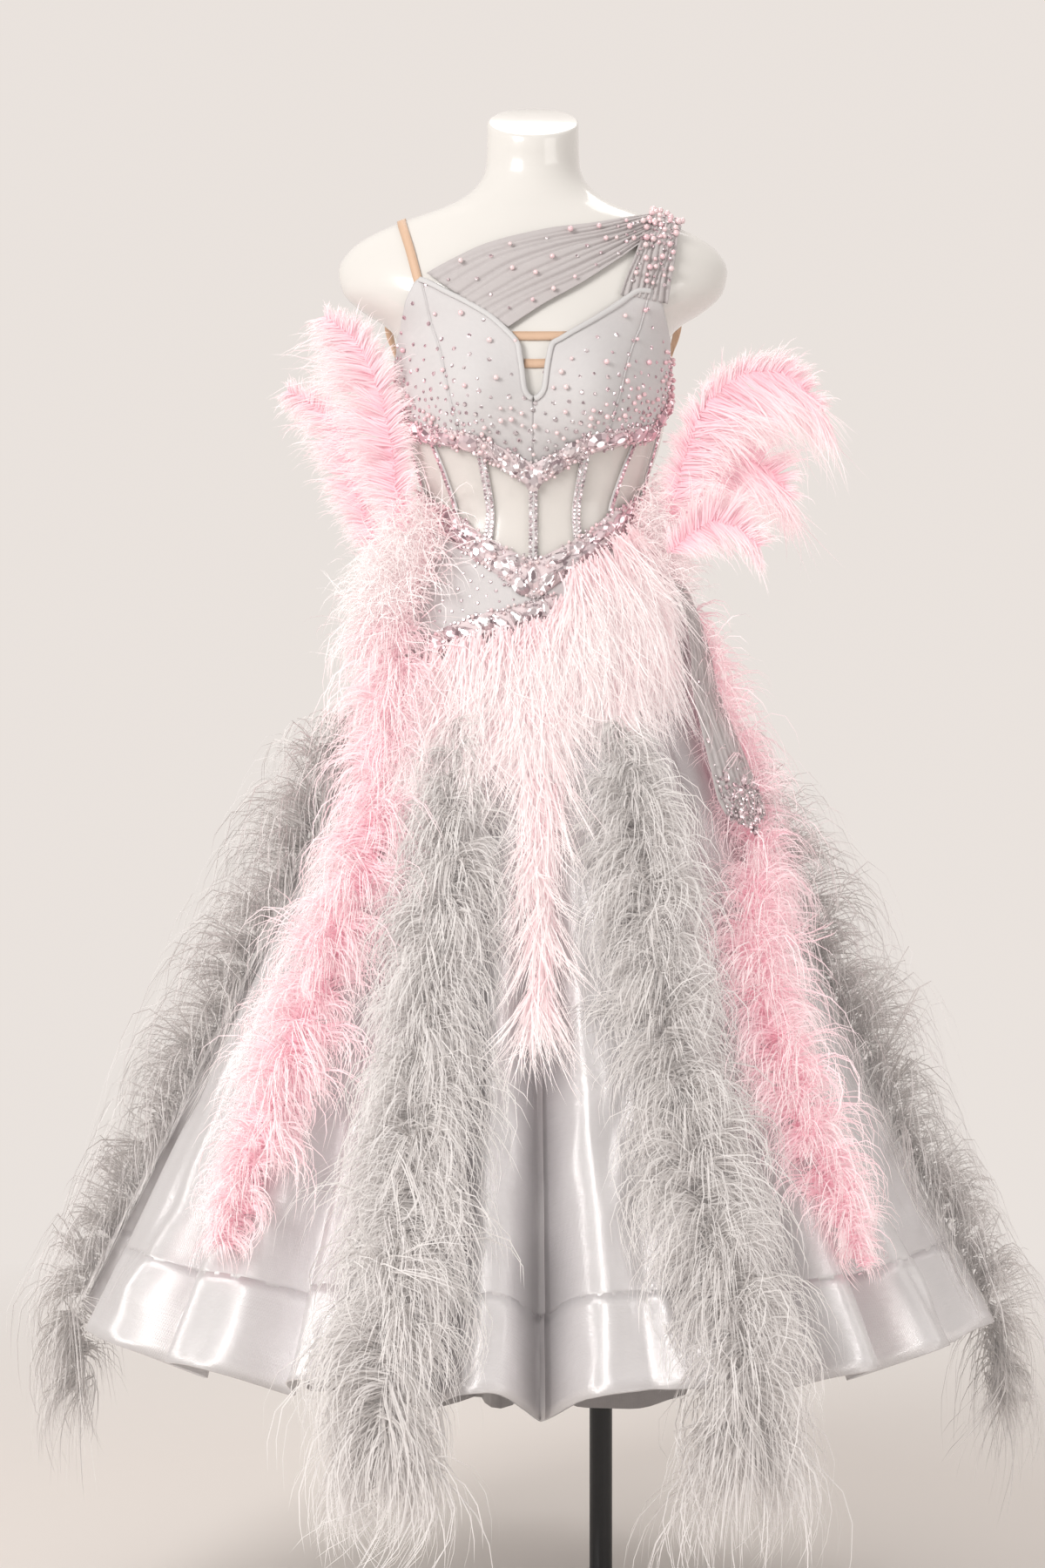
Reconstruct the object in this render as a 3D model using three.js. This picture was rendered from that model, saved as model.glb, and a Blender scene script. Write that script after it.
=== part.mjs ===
// A ballroom dance dress, worn by a limbless dress form on a pole stand.
//
// Millimetres, +Z up. The origin is on the floor under the middle of the form, the front of the
// dress faces -Y, and +X is on the right of someone who stands in front of it.
// A place on the dress is an angle and a height: `at` is in degrees round the body, from 0 at the
// centre front through 90 on the +X side, and `out` is a distance from the form, along its normal.

import * as THREE from 'three';

// ---------------------------------------------------------------- driving sizes

const DEGREE = Math.PI / 180;
const SEAM = 0.3;
const ARMPIT = 1408;
const SKIRT_TOP = 1030;
const HEM_HEIGHT = 362;
const HEM_BAND = 92;
const PETTICOAT_TOP = 1024;
const PETTICOAT_HEM = 318;
const FORM_BOTTOM = 860;
const FORM_TOP = 1650;

// The layers of the dress, as distances from the form.
const LAYERS = {
  keyholeBar: { from: 0.8, to: 2 },
  strap: { from: 1.2, to: 2.4 },
  midriff: { from: 2, to: 3.2 },
  cup: { from: 4, to: 5.6 },
  yoke: { from: 3.8, to: 5 },
  boning: { from: 4.8, to: 6.4 },
  drape: { from: 3.4, to: 5.2 },
  trim: { from: 7, to: 9.2 },
  fringe: { from: 7.8, to: 19 },
  tuft: { from: 10.4, to: 34 },
};

// ---------------------------------------------------------------- the dress form

// Half widths and the depths in front of and behind the middle line, which itself leans back.
const FORM = [
  { z: 860, half: 145, front: 90, back: 88, mid: 0 },
  { z: 900, half: 156, front: 98, back: 98, mid: 2 },
  { z: 960, half: 168, front: 105, back: 110, mid: 5 },
  { z: 1030, half: 173, front: 106, back: 116, mid: 6 },
  { z: 1090, half: 163, front: 100, back: 108, mid: 4 },
  { z: 1140, half: 146, front: 92, back: 95, mid: 2 },
  { z: 1180, half: 125, front: 85, back: 82, mid: 0 },
  { z: 1215, half: 113, front: 83, back: 76, mid: 0 },
  { z: 1255, half: 122, front: 92, back: 80, mid: 0 },
  { z: 1300, half: 136, front: 104, back: 86, mid: 0 },
  { z: 1343, half: 144, front: 110, back: 89, mid: 2 },
  { z: 1380, half: 145, front: 106, back: 90, mid: 3 },
  { z: 1408, half: 148, front: 101, back: 90, mid: 4 },
  { z: 1424, half: 160, front: 98, back: 89, mid: 6 },
  { z: 1441, half: 187, front: 94, back: 88, mid: 8 },
  { z: 1462, half: 208, front: 90, back: 85, mid: 10 },
  { z: 1486, half: 213, front: 85, back: 82, mid: 14 },
  { z: 1510, half: 200, front: 79, back: 78, mid: 18 },
  { z: 1527, half: 174, front: 75, back: 74, mid: 20 },
  { z: 1543, half: 135, front: 70, back: 70, mid: 22 },
  { z: 1556, half: 98, front: 66, back: 66, mid: 24 },
  { z: 1570, half: 73, front: 62, back: 61, mid: 24 },
  { z: 1585, half: 58, front: 56, back: 56, mid: 22 },
  { z: 1600, half: 51.5, front: 52, back: 52, mid: 18 },
  { z: 1625, half: 50.3, front: 50, back: 50, mid: 14 },
  { z: 1650, half: 50, front: 50, back: 50, mid: 12 },
];
const BUST = { out: 26, apart: 72, height: 1338, wide: 45, tall: 50 };
const NECK_CUT = { from: 1590, slope: 0.53 };
const FORM_COLUMNS = 56;
const FORM_HEIGHTS = [
  860, 895, 940, 990, 1040, 1090, 1125, 1155, 1185, 1215, 1245, 1275, 1305, 1338, 1372, 1398, 1412,
  1424, 1434, 1446, 1462, 1486, 1508, 1526, 1540, 1551, 1562, 1576, 1592, 1625, 1650,
];

// ---------------------------------------------------------------- lines of the bodice

const UNDERBUST = [
  { at: 0, z: 1243 }, { at: 10, z: 1256 }, { at: 20, z: 1271 }, { at: 28, z: 1281 },
  { at: 46, z: 1291.5 }, { at: 60, z: 1297 }, { at: 75, z: 1319 }, { at: 90, z: 1343 },
  { at: 180, z: 1335 },
];
const BELTLINE = [
  { at: 0, z: 1156 }, { at: 15, z: 1173 }, { at: 30, z: 1191 }, { at: 48, z: 1214 },
  { at: 65, z: 1228 }, { at: 90, z: 1243 }, { at: 180, z: 1243 },
];
const SIDE_TOP = 1385;
const PRINCESS_FOOT = 33;

// The upper edge of each half, from the side seam over the tip and down into the keyhole.
const ARMHOLE = {
  left: [
    { x: -143.5, z: 1391 }, { x: -139.7, z: 1415 }, { x: -134.9, z: 1440 }, { x: -125.7, z: 1459 },
    { x: -118.4, z: 1464.6 },
  ],
  right: [
    { x: 144.5, z: 1391 }, { x: 143, z: 1412 }, { x: 136.5, z: 1438 }, { x: 130, z: 1449 },
    { x: 123.3, z: 1453.8 },
  ],
};
const NECKLINE = {
  left: [
    { x: -118.4, z: 1464.6 }, { x: -106.9, z: 1460 }, { x: -85, z: 1447.5 }, { x: -63.2, z: 1434.4 },
    { x: -42, z: 1419 }, { x: -25.2, z: 1402.4 }, { x: -12.8, z: 1388 },
  ],
  right: [
    { x: 123.3, z: 1453.8 }, { x: 108.2, z: 1452.4 }, { x: 91.9, z: 1440.5 }, { x: 74, z: 1427 },
    { x: 55.9, z: 1413.4 }, { x: 29, z: 1393.5 }, { x: 19.5, z: 1388 },
  ],
};
const KEYHOLE = {
  left: [{ x: -12.8, z: 1388 }, { x: -9.6, z: 1374 }, { x: -7.4, z: 1354 }, { x: -1.5, z: 1332 }],
  right: [{ x: 19.5, z: 1388 }, { x: 12, z: 1374 }, { x: 8.4, z: 1354 }, { x: 1.5, z: 1332 }],
};
const BINDING_WIDTH = 8;
const KEYHOLE_BARS = [
  { name: 'keyhole_bar_upper', from: -20, to: 33, z: 1397, tall: 10 },
  { name: 'keyhole_bar_lower', from: -8, to: 12, z: 1367, tall: 10 },
];

const BONING_WIDTH = 9;
const BONING = [
  { name: 'boning_side_left', top: -72, foot: -75 },
  { name: 'boning_outer_left', top: -52, foot: -45 },
  { name: 'boning_inner_left', top: -25, foot: -22 },
  { name: 'boning_centre', top: 0, foot: 0 },
  { name: 'boning_inner_right', top: 25, foot: 22 },
  { name: 'boning_outer_right', top: 52, foot: 45 },
  { name: 'boning_side_right', top: 72, foot: 75 },
];
const BUST_BAND = { tall: 13, more: 8, spread: 25 };
const BELT_BAND = { tall: 25, more: 12, spread: 12 };
const HIP_BAND = { tall: 25, from: -44, to: 8 };
const HIP_LINE = [{ at: -44, z: 1065 }, { at: -21, z: 1090 }, { at: 0, z: 1104 }, { at: 8, z: 1112 }];

// ---------------------------------------------------------------- drapes and straps

const CHEST_DRAPE = {
  upper: [
    { x: -108, z: 1469 }, { x: -41, z: 1502 }, { x: 16, z: 1516.5 }, { x: 85, z: 1527.5 },
    { x: 112, z: 1534 },
  ],
  lower: [
    { x: -31, z: 1414 }, { x: 10, z: 1432 }, { x: 56, z: 1458.5 }, { x: 92, z: 1485 },
    { x: 111.5, z: 1501 },
  ],
};
const SHOULDER_DRAPE = {
  upper: [{ x: 147, z: 1491 }, { x: 147, z: 1475 }, { x: 145, z: 1460 }],
  lower: [{ x: 113, z: 1495 }, { x: 104, z: 1477 }, { x: 96, z: 1459 }],
};
const PLEATS = { rows: 8, deep: 1.4 };
const STRAP_LEFT = [
  { x: -119, y: -60, z: 1469, width: 9.5 }, { x: -133, y: -42, z: 1503, width: 9.5 },
  { x: -141, y: -10, z: 1531, width: 9.5 }, { x: -143, y: 22, z: 1540, width: 9.5 },
  { x: -144, y: 52, z: 1530, width: 9.5 }, { x: -147, y: 76, z: 1490, width: 9.5 },
  { x: -150, y: 60, z: 1435, width: 9.5 }, { x: -140, y: 42, z: 1397, width: 9.5 },
];
const STRAP_RIGHT = [
  { x: 145, y: 76, z: 1494, width: 9.5 }, { x: 149, y: 66, z: 1445, width: 9.5 },
  { x: 140, y: 42, z: 1397, width: 9.5 },
];
const SHOULDER_KNOT = [
  { x: 131, y: -46, z: 1501, width: 32 }, { x: 139, y: -24, z: 1524, width: 38 },
  { x: 145, y: 20, z: 1540, width: 36 }, { x: 146, y: 54, z: 1528, width: 24 },
  { x: 145, y: 72, z: 1504, width: 12 },
];

// ---------------------------------------------------------------- skirt

// Radii to the +-X sides, the front and the back; each grows down the skirt by its own power.
const FLARE = {
  side: { top: 176.8, grow: 313, power: 1.12 },
  front: { top: 109.8, grow: 363, power: 1.1 },
  back: { top: 119.8, grow: 346, power: 1.1 },
};
const SKIRT_CLOTH = 1.2;
const HEM_CLOTH = 2.4;
const VALLEYS = [
  { at: -163, deep: 62, wide: 6.5 }, { at: -141, deep: 70, wide: 6 },
  { at: -118, deep: 60, wide: 6 }, { at: -97, deep: 55, wide: 5.5 },
  { at: -78, deep: 50, wide: 5 }, { at: -54, deep: 75, wide: 4.5 },
  { at: -35, deep: 70, wide: 4.5 }, { at: -12, deep: 55, wide: 4 },
  { at: 1, deep: 95, wide: 4.2 }, { at: 33, deep: 60, wide: 5 },
  { at: 50, deep: 70, wide: 4.5 }, { at: 66, deep: 60, wide: 4.5 },
  { at: 85, deep: 55, wide: 5 }, { at: 106, deep: 62, wide: 6 },
  { at: 127, deep: 58, wide: 6 }, { at: 149, deep: 68, wide: 6.5 },
  { at: 172, deep: 60, wide: 6.5 },
];
const VALLEY_DROP = 0.35;
const VALLEY_STEPS = [-1.4, -0.65, 0, 0.65, 1.4];
const QUARTERS = [
  { name: 'front_left', from: -88, to: 2 },
  { name: 'front_right', from: 2, to: 92 },
  { name: 'back_right', from: 92, to: 182 },
  { name: 'back_left', from: 182, to: 272 },
];

const PETTICOAT = [
  { z: 318, side: 336, front: 336, back: 330 },
  { z: 700, side: 238, front: 205, back: 208 },
  { z: 940, side: 180, front: 122, back: 130 },
  { z: 1024, side: 174.3, front: 107.4, back: 117.4 },
];
const RUFFLES = { count: 12, deep: 10 };

// ---------------------------------------------------------------- feathers

const FRINGE_TOP = [
  { at: -39, z: 1055 }, { at: -21, z: 1075 }, { at: 0, z: 1089.5 }, { at: 9, z: 1098 },
  { at: 13, z: 1137 }, { at: 30, z: 1163 }, { at: 44, z: 1184 }, { at: 56, z: 1194 },
];
const FRINGE_COLUMNS = [-39, -31, -22, -14, -7, -4.5, -2, 1, 4, 6.5, 9, 13, 21, 30, 38, 47, 56];
const FRINGE_FOOT = { z: 985, tongue: 335, middle: 1, wide: 5.5 };

const BOA = { lift: 9.5, dome: 40, rows: 7 };
const BOAS = [
  { name: 'boa_grey_far_left', half: 10, path: [[930, -100], [640, -103], [362, -102], [235, -101]] },
  {
    name: 'boa_pink_left', half: 8.5,
    path: [[1120, -64], [1030, -52], [830, -41], [640, -43], [440, -43.5]],
  },
  {
    name: 'boa_grey_left', half: 11,
    path: [[978, -25], [830, -19], [640, -17.5], [362, -16], [240, -15.5]],
  },
  {
    name: 'boa_grey_right', half: 10.5,
    path: [[978, 27], [830, 25], [640, 22.5], [362, 23.5], [240, 23.5]],
  },
  {
    name: 'boa_pink_right', half: 8.5,
    path: [[1100, 90], [1000, 84], [896, 75], [830, 61], [749, 48], [640, 44.5], [420, 45]],
  },
  { name: 'boa_grey_far_right', half: 10, path: [[950, 100], [640, 93], [362, 88], [235, 86]] },
  { name: 'boa_pink_back_left', half: 9, path: [[1090, -140], [440, -138]] },
  { name: 'boa_pink_back_right', half: 9, path: [[1090, 138], [440, 136]] },
  { name: 'boa_grey_back', half: 11, path: [[978, 178], [362, 178], [240, 178]] },
];

const TUFTS = [
  { name: 'tuft_left', from: -80, to: -46, low: 1135, high: 1180 },
  { name: 'tuft_right', from: 64, to: 88, low: 1151, high: 1190 },
];

// Each row is a point of the quill, the reach of its barbs to both sides, and their direction.
const PLUME_THICK = 6;
const PLUMES = [
  {
    name: 'plume_left_tall', y: -60,
    rows: [
      { x: -137, z: 1206, left: 25, right: 14, turn: 14 }, { x: -146, z: 1240, left: 44, right: 22, turn: 12 },
      { x: -152, z: 1288, left: 56, right: 26, turn: 10 }, { x: -166, z: 1346, left: 58, right: 28, turn: 18 },
      { x: -187, z: 1394, left: 46, right: 24, turn: 30 }, { x: -216, z: 1422, left: 18, right: 12, turn: 50 },
    ],
  },
  {
    name: 'plume_left_low', y: -20,
    rows: [
      { x: -182, z: 1206, left: 15, right: 12, turn: 10 }, { x: -190, z: 1234, left: 28, right: 20, turn: 10 },
      { x: -205, z: 1293, left: 36, right: 25, turn: 20 }, { x: -230, z: 1329, left: 30, right: 22, turn: 40 },
      { x: -262, z: 1350, left: 12, right: 10, turn: 60 },
    ],
  },
  {
    name: 'plume_right_tall', y: -45,
    rows: [
      { x: 150, z: 1214, left: 12, right: 15, turn: -5 }, { x: 156, z: 1252, left: 20, right: 25, turn: -8 },
      { x: 169, z: 1295, left: 26, right: 36, turn: -17 }, { x: 185, z: 1331, left: 28, right: 52, turn: -41 },
      { x: 212, z: 1357, left: 28, right: 75, turn: -60 }, { x: 238, z: 1368, left: 26, right: 85, turn: -76 },
      { x: 277, z: 1361, left: 24, right: 80, turn: -90 }, { x: 307, z: 1324, left: 15, right: 45, turn: -78 },
    ],
  },
  {
    name: 'plume_right_middle', y: -15,
    rows: [
      { x: 168, z: 1216, left: 12, right: 12, turn: -35 }, { x: 182, z: 1250, left: 22, right: 34, turn: -45 },
      { x: 217, z: 1276, left: 25, right: 50, turn: -75 }, { x: 254, z: 1267, left: 22, right: 50, turn: -95 },
      { x: 276, z: 1236, left: 12, right: 25, turn: -105 },
    ],
  },
  {
    name: 'plume_right_low', y: -78,
    rows: [
      { x: 160, z: 1184, left: 14, right: 12, turn: -50 }, { x: 182, z: 1201, left: 18, right: 30, turn: -70 },
      { x: 212, z: 1200, left: 18, right: 36, turn: -95 }, { x: 238, z: 1178, left: 10, right: 18, turn: -110 },
    ],
  },
];

// A pleated panel that hangs free over the hip, narrow at the top and pointed at its foot.
const FLOAT = [
  { z: 882, at: 54, half: 7, out: 30 },
  { z: 900, at: 55.5, half: 8, out: 29 },
  { z: 1016, at: 66, half: 6, out: 22 },
  { z: 1146, at: 75, half: 3.5, out: 12 },
];
const FLOAT_POINT = 16;

// ---------------------------------------------------------------- stand

const BASE = { radius: 190, thick: 12, bevel: 2 };
const POLE = { x: 74, radius: 12.4, sides: 32 };
const FLANGE = { inner: 12.8, outer: 24, tall: 25 };

// ---------------------------------------------------------------- materials

const finish = (color, roughness, metalness = 0) => (
  new THREE.MeshStandardMaterial({ color, roughness, metalness })
);
const MATERIALS = {
  form: finish(0xf4f1ea, 0.22),
  pole: finish(0x101011, 0.45, 0.3),
  base: finish(0xb9bcc0, 0.3, 0.9),
  crepe: finish(0xb3b2b6, 0.8),
  mesh: finish(0xe9e1d8, 0.6),
  crystal: finish(0xd9a0ab, 0.15, 0.6),
  chiffon: finish(0xa59fa2, 0.75),
  elastic: finish(0xe0b08e, 0.7),
  satin: finish(0xbab8bd, 0.35, 0.2),
  organza: finish(0x8f8886, 0.6),
  pinkFeather: finish(0xf2a7bb, 0.9),
  blushFeather: finish(0xf6d3d6, 0.9),
  greyFeather: finish(0xb4b1ae, 0.9),
};

// ---------------------------------------------------------------- reading tables

// The value of a column between the rows of a table, on a smooth curve that never overshoots.
// The key column rises from row to row.
function read(table, key, column, where) {
  const last = table.length - 1;
  const place = THREE.MathUtils.clamp(where, table[0][key], table[last][key]);
  const row = Math.max(0, table.findIndex((next) => next[key] >= place) - 1);
  const slope = (k) => (table[k + 1][column] - table[k][column]) / (table[k + 1][key] - table[k][key]);
  const tangent = (k) => {
    const before = slope(Math.max(k - 1, 0));
    const after = slope(Math.min(k, last - 1));
    return before * after <= 0 ? 0 : (2 * before * after) / (before + after);
  };
  const span = table[row + 1][key] - table[row][key];
  const t = (place - table[row][key]) / span;
  const rise = t * t * (3 - 2 * t);
  const bend = t * (1 - t) * span;
  const level = table[row][column] * (1 - rise) + table[row + 1][column] * rise;
  return level + bend * ((1 - t) * tangent(row) - t * tangent(row + 1));
}

// A route through a list of points, as a function of the share of its length from 0 to 1.
function route(points, keys) {
  const legs = points.slice(1).map((point, i) => (
    Math.hypot(...keys.map((key) => point[key] - points[i][key]))
  ));
  const total = legs.reduce((sum, leg) => sum + leg, 0);
  return (share) => {
    let left = THREE.MathUtils.clamp(share, 0, 1) * total;
    let leg = 0;
    while (leg < legs.length - 1 && left > legs[leg]) {
      left -= legs[leg];
      leg += 1;
    }
    const t = legs[leg] > 0 ? left / legs[leg] : 0;
    const mixed = {};
    keys.forEach((key) => {
      mixed[key] = points[leg][key] * (1 - t) + points[leg + 1][key] * t;
    });
    return mixed;
  };
}

const mix = (a, b, t) => a + (b - a) * t;
const steps = (count) => Array.from({ length: count + 1 }, (_, i) => i / count);
const hump = (distance, wide) => Math.exp(-((distance / wide) ** 2));

// The turn from one angle to another, between -180 and 180 degrees.
const turnTo = (from, to) => ((((to - from) % 360) + 540) % 360) - 180;

// ---------------------------------------------------------------- closed solids

function solid(positions, triangles) {
  let volume = 0;
  const corner = (i) => new THREE.Vector3().fromArray(positions, 3 * i);
  for (let t = 0; t < triangles.length; t += 3) {
    const [a, b, c] = [corner(triangles[t]), corner(triangles[t + 1]), corner(triangles[t + 2])];
    volume += a.dot(b.cross(c));
  }
  const outward = volume > 0 ? triangles : [...triangles].reverse();
  const geometry = new THREE.BufferGeometry();
  geometry.setAttribute('position', new THREE.Float32BufferAttribute(positions, 3));
  geometry.setIndex(outward);
  geometry.computeVertexNormals();
  return geometry;
}

// A wall between two grids of points, its outer and its inner face, closed along every edge.
// A ring's last column joins its first.
function wallBetween(outer, inner, ring) {
  const rows = outer.length;
  const columns = outer[0].length;
  const positions = [outer, inner].flat(2).flatMap((point) => point.toArray());
  const triangles = [];
  const index = (face, r, c) => (face * rows + r) * columns + (c % columns);
  const quad = (a, b, c, d) => triangles.push(a, b, c, a, c, d);
  const spans = ring ? columns : columns - 1;
  for (let c = 0; c < spans; c += 1) {
    for (let r = 0; r < rows - 1; r += 1) {
      quad(index(0, r, c), index(0, r, c + 1), index(0, r + 1, c + 1), index(0, r + 1, c));
      quad(index(1, r, c), index(1, r + 1, c), index(1, r + 1, c + 1), index(1, r, c + 1));
    }
    quad(index(1, 0, c), index(1, 0, c + 1), index(0, 0, c + 1), index(0, 0, c));
    quad(index(0, rows - 1, c), index(0, rows - 1, c + 1), index(1, rows - 1, c + 1), index(1, rows - 1, c));
  }
  const end = columns - 1;
  for (let r = 0; r < rows - 1 && !ring; r += 1) {
    quad(index(0, r, 0), index(0, r + 1, 0), index(1, r + 1, 0), index(1, r, 0));
    quad(index(1, r, end), index(1, r + 1, end), index(0, r + 1, end), index(0, r, end));
  }
  return solid(positions, triangles);
}

// A wall from place(across, up, out), with across and up each from 0 to 1 or from a list.
function wall(place, { from, to, columns, rows, ring = false }) {
  const across = Array.isArray(columns) ? columns : steps(columns);
  const up = Array.isArray(rows) ? rows : steps(rows);
  const grid = (out) => up.map((v) => across.map((u) => place(u, v, out)));
  return wallBetween(grid(to), grid(from), ring);
}

// A solid through rings of points, closed by a fan at both ends.
function loft(rings) {
  const count = rings[0].length;
  const middle = (ring) => ring.reduce((sum, p) => sum.add(p), new THREE.Vector3()).divideScalar(count);
  const positions = rings.flat().flatMap((point) => point.toArray());
  const first = positions.length / 3;
  positions.push(...middle(rings[0]).toArray(), ...middle(rings.at(-1)).toArray());
  const triangles = [];
  for (let c = 0; c < count; c += 1) {
    const next = (c + 1) % count;
    for (let r = 0; r < rings.length - 1; r += 1) {
      const [low, high] = [r * count, (r + 1) * count];
      triangles.push(low + c, low + next, high + next, low + c, high + next, high + c);
    }
    const top = (rings.length - 1) * count;
    triangles.push(first, next, c, first + 1, top + c, top + next);
  }
  return solid(positions, triangles);
}

// ---------------------------------------------------------------- surfaces

const formHalf = (z) => read(FORM, 'z', 'half', z);
const bust = (x, z) => (
  BUST.out * hump(Math.abs(x) - BUST.apart, BUST.wide) * hump(z - BUST.height, BUST.tall)
);

// The depth of the form at a height, in front of or behind its middle line.
function formDepth(x, z, inFront) {
  return inFront ? read(FORM, 'z', 'front', z) + bust(x, z) : read(FORM, 'z', 'back', z);
}

// The form's surface as the cloth sees it: above the armpit it stays between the arm caps.
function skin(at, z, half = z > ARMPIT ? formHalf(ARMPIT) : formHalf(z)) {
  const x = half * Math.sin(at * DEGREE);
  const reach = Math.sqrt(Math.max(0, 1 - (x / formHalf(z)) ** 2));
  const inFront = Math.cos(at * DEGREE) >= 0;
  const depth = formDepth(x, z, inFront) * reach;
  return new THREE.Vector3(x, read(FORM, 'z', 'mid', z) + (inFront ? -depth : depth), z);
}

// Moves a surface's point out along its normal, which is worked out from its neighbours.
function lifted(surface, at, z, out) {
  const across = surface(at + 0.5, z).sub(surface(at - 0.5, z));
  const up = surface(at, z + 0.5).sub(surface(at, z - 0.5));
  return surface(at, z).addScaledVector(across.cross(up).normalize(), out);
}

const worn = (at, z, out) => lifted(skin, at, z, out);

const skirtShare = (z) => (SKIRT_TOP - z) / (SKIRT_TOP - HEM_HEIGHT);
const flareRadius = (row, share) => row.top + row.grow * THREE.MathUtils.clamp(share, 0, 1) ** row.power;

// The smooth envelope of the skirt; below the hem it drops straight down.
function flare(at, z) {
  const share = skirtShare(z);
  const depth = Math.cos(at * DEGREE) >= 0 ? FLARE.front : FLARE.back;
  const mid = 6 * (1 - THREE.MathUtils.clamp(share, 0, 1));
  return new THREE.Vector3(
    flareRadius(FLARE.side, share) * Math.sin(at * DEGREE),
    mid - flareRadius(depth, share) * Math.cos(at * DEGREE),
    z,
  );
}

// The outside of the whole dress below the waist: the yoke, and then the skirt's envelope.
function outside(at, z, out) {
  return z >= SKIRT_TOP ? worn(at, z, out) : lifted(flare, at, z, out - LAYERS.yoke.from);
}

// The skirt's cloth, which sinks from its envelope into the valleys between the godets.
function skirt(at, z) {
  const share = THREE.MathUtils.clamp(skirtShare(z), 0, 1);
  const sink = VALLEYS.reduce((sum, v) => sum + v.deep * hump(turnTo(v.at, at), v.wide), 0);
  const point = flare(at, z);
  const middle = 6 * (1 - share);
  const radius = Math.hypot(point.x, point.y - middle);
  const keep = 1 - (sink * share ** 1.5) / radius;
  return new THREE.Vector3(
    point.x * keep,
    middle + (point.y - middle) * keep,
    z - VALLEY_DROP * sink * share ** 2,
  );
}

function petticoat(at, z) {
  const share = (PETTICOAT_TOP - z) / (PETTICOAT_TOP - PETTICOAT_HEM);
  const ruffle = 1 + (RUFFLES.deep * share ** 2 * Math.cos(RUFFLES.count * at * DEGREE)) / 336;
  const depth = read(PETTICOAT, 'z', Math.cos(at * DEGREE) >= 0 ? 'front' : 'back', z);
  return new THREE.Vector3(
    read(PETTICOAT, 'z', 'side', z) * Math.sin(at * DEGREE) * ruffle,
    6 * (1 - share) - depth * Math.cos(at * DEGREE) * ruffle,
    z,
  );
}

// How far a point is outside the form, as a share of the form's section there.
function formValue(p) {
  const middle = read(FORM, 'z', 'mid', p.z);
  const depth = formDepth(p.x, p.z, p.y < middle);
  return Math.hypot(p.x / formHalf(p.z), (p.y - middle) / depth) - 1;
}

// Lays a nearby point on the form and moves it out: used for straps over the shoulders.
function laid(near, out) {
  const point = near.clone();
  const slope = new THREE.Vector3();
  for (let turn = 0; turn < 8; turn += 1) {
    const value = formValue(point);
    ['x', 'y', 'z'].forEach((axis) => {
      const beside = point.clone();
      beside[axis] += 0.2;
      slope[axis] = (formValue(beside) - value) / 0.2;
    });
    point.addScaledVector(slope, -value / slope.lengthSq());
  }
  return point.addScaledVector(slope.normalize(), out);
}

// A point on the front of the form, from its place seen from the front.
function onFront(x, z, out) {
  const half = formHalf(z);
  const reach = Math.sqrt(Math.max(0.02, 1 - (x / half) ** 2));
  const middle = read(FORM, 'z', 'mid', z);
  return laid(new THREE.Vector3(x, middle - formDepth(x, z, true) * reach, z), out);
}

// ---------------------------------------------------------------- the object

const dress = new THREE.Group();

function add(name, geometry, material) {
  const mesh = new THREE.Mesh(geometry, material);
  mesh.name = name;
  dress.add(mesh);
  return mesh;
}

// The form, whose neck is cut on a slant that faces forward.
function addForm() {
  const rings = FORM_HEIGHTS.map((z) => steps(FORM_COLUMNS).slice(0, -1).map((share) => {
    const point = skin(share * 360, z, formHalf(z));
    const lean = THREE.MathUtils.smoothstep(z, NECK_CUT.from, FORM_TOP);
    point.z += lean * NECK_CUT.slope * (point.y - read(FORM, 'z', 'mid', z));
    return point;
  }));
  add('form', loft(rings), MATERIALS.form);
}

function addStand() {
  const rim = [
    [0, 0], [BASE.radius, 0], [BASE.radius, BASE.thick - BASE.bevel],
    [BASE.radius - BASE.bevel, BASE.thick], [0, BASE.thick],
  ];
  const lathe = (profile, sides) => (
    new THREE.LatheGeometry(profile.map(([r, z]) => new THREE.Vector2(r, z)), sides)
  );
  const base = add('stand_base', lathe(rim, 48), MATERIALS.base);
  base.rotation.x = Math.PI / 2;
  const low = BASE.thick + SEAM;
  const high = FORM_BOTTOM - SEAM;
  const pole = add(
    'stand_pole',
    new THREE.CylinderGeometry(POLE.radius, POLE.radius, high - low, POLE.sides),
    MATERIALS.pole,
  );
  pole.rotation.x = Math.PI / 2;
  pole.position.set(POLE.x, 0, (low + high) / 2);
  const ring = [
    [FLANGE.inner, low], [FLANGE.outer, low], [FLANGE.outer, low + FLANGE.tall * 0.3],
    [FLANGE.inner + 3, low + FLANGE.tall], [FLANGE.inner, low + FLANGE.tall], [FLANGE.inner, low],
  ];
  const flange = add('stand_flange', lathe(ring, POLE.sides), MATERIALS.base);
  flange.rotation.x = Math.PI / 2;
  flange.position.x = POLE.x;
}

const underbust = (at) => read(UNDERBUST, 'at', 'z', Math.abs(turnTo(0, at)));
const beltline = (at) => read(BELTLINE, 'at', 'z', Math.abs(turnTo(0, at)));
const beltFoot = (at) => beltline(at) - BELT_BAND.tall - BELT_BAND.more * hump(at, BELT_BAND.spread);

// A place on the bodice from its x and height, as an angle and a height.
const bodicePlace = ({ x, z }) => {
  const half = formHalf(Math.min(z, ARMPIT));
  return { at: Math.asin(THREE.MathUtils.clamp(x / half, -1, 1)) / DEGREE, z };
};

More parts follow.
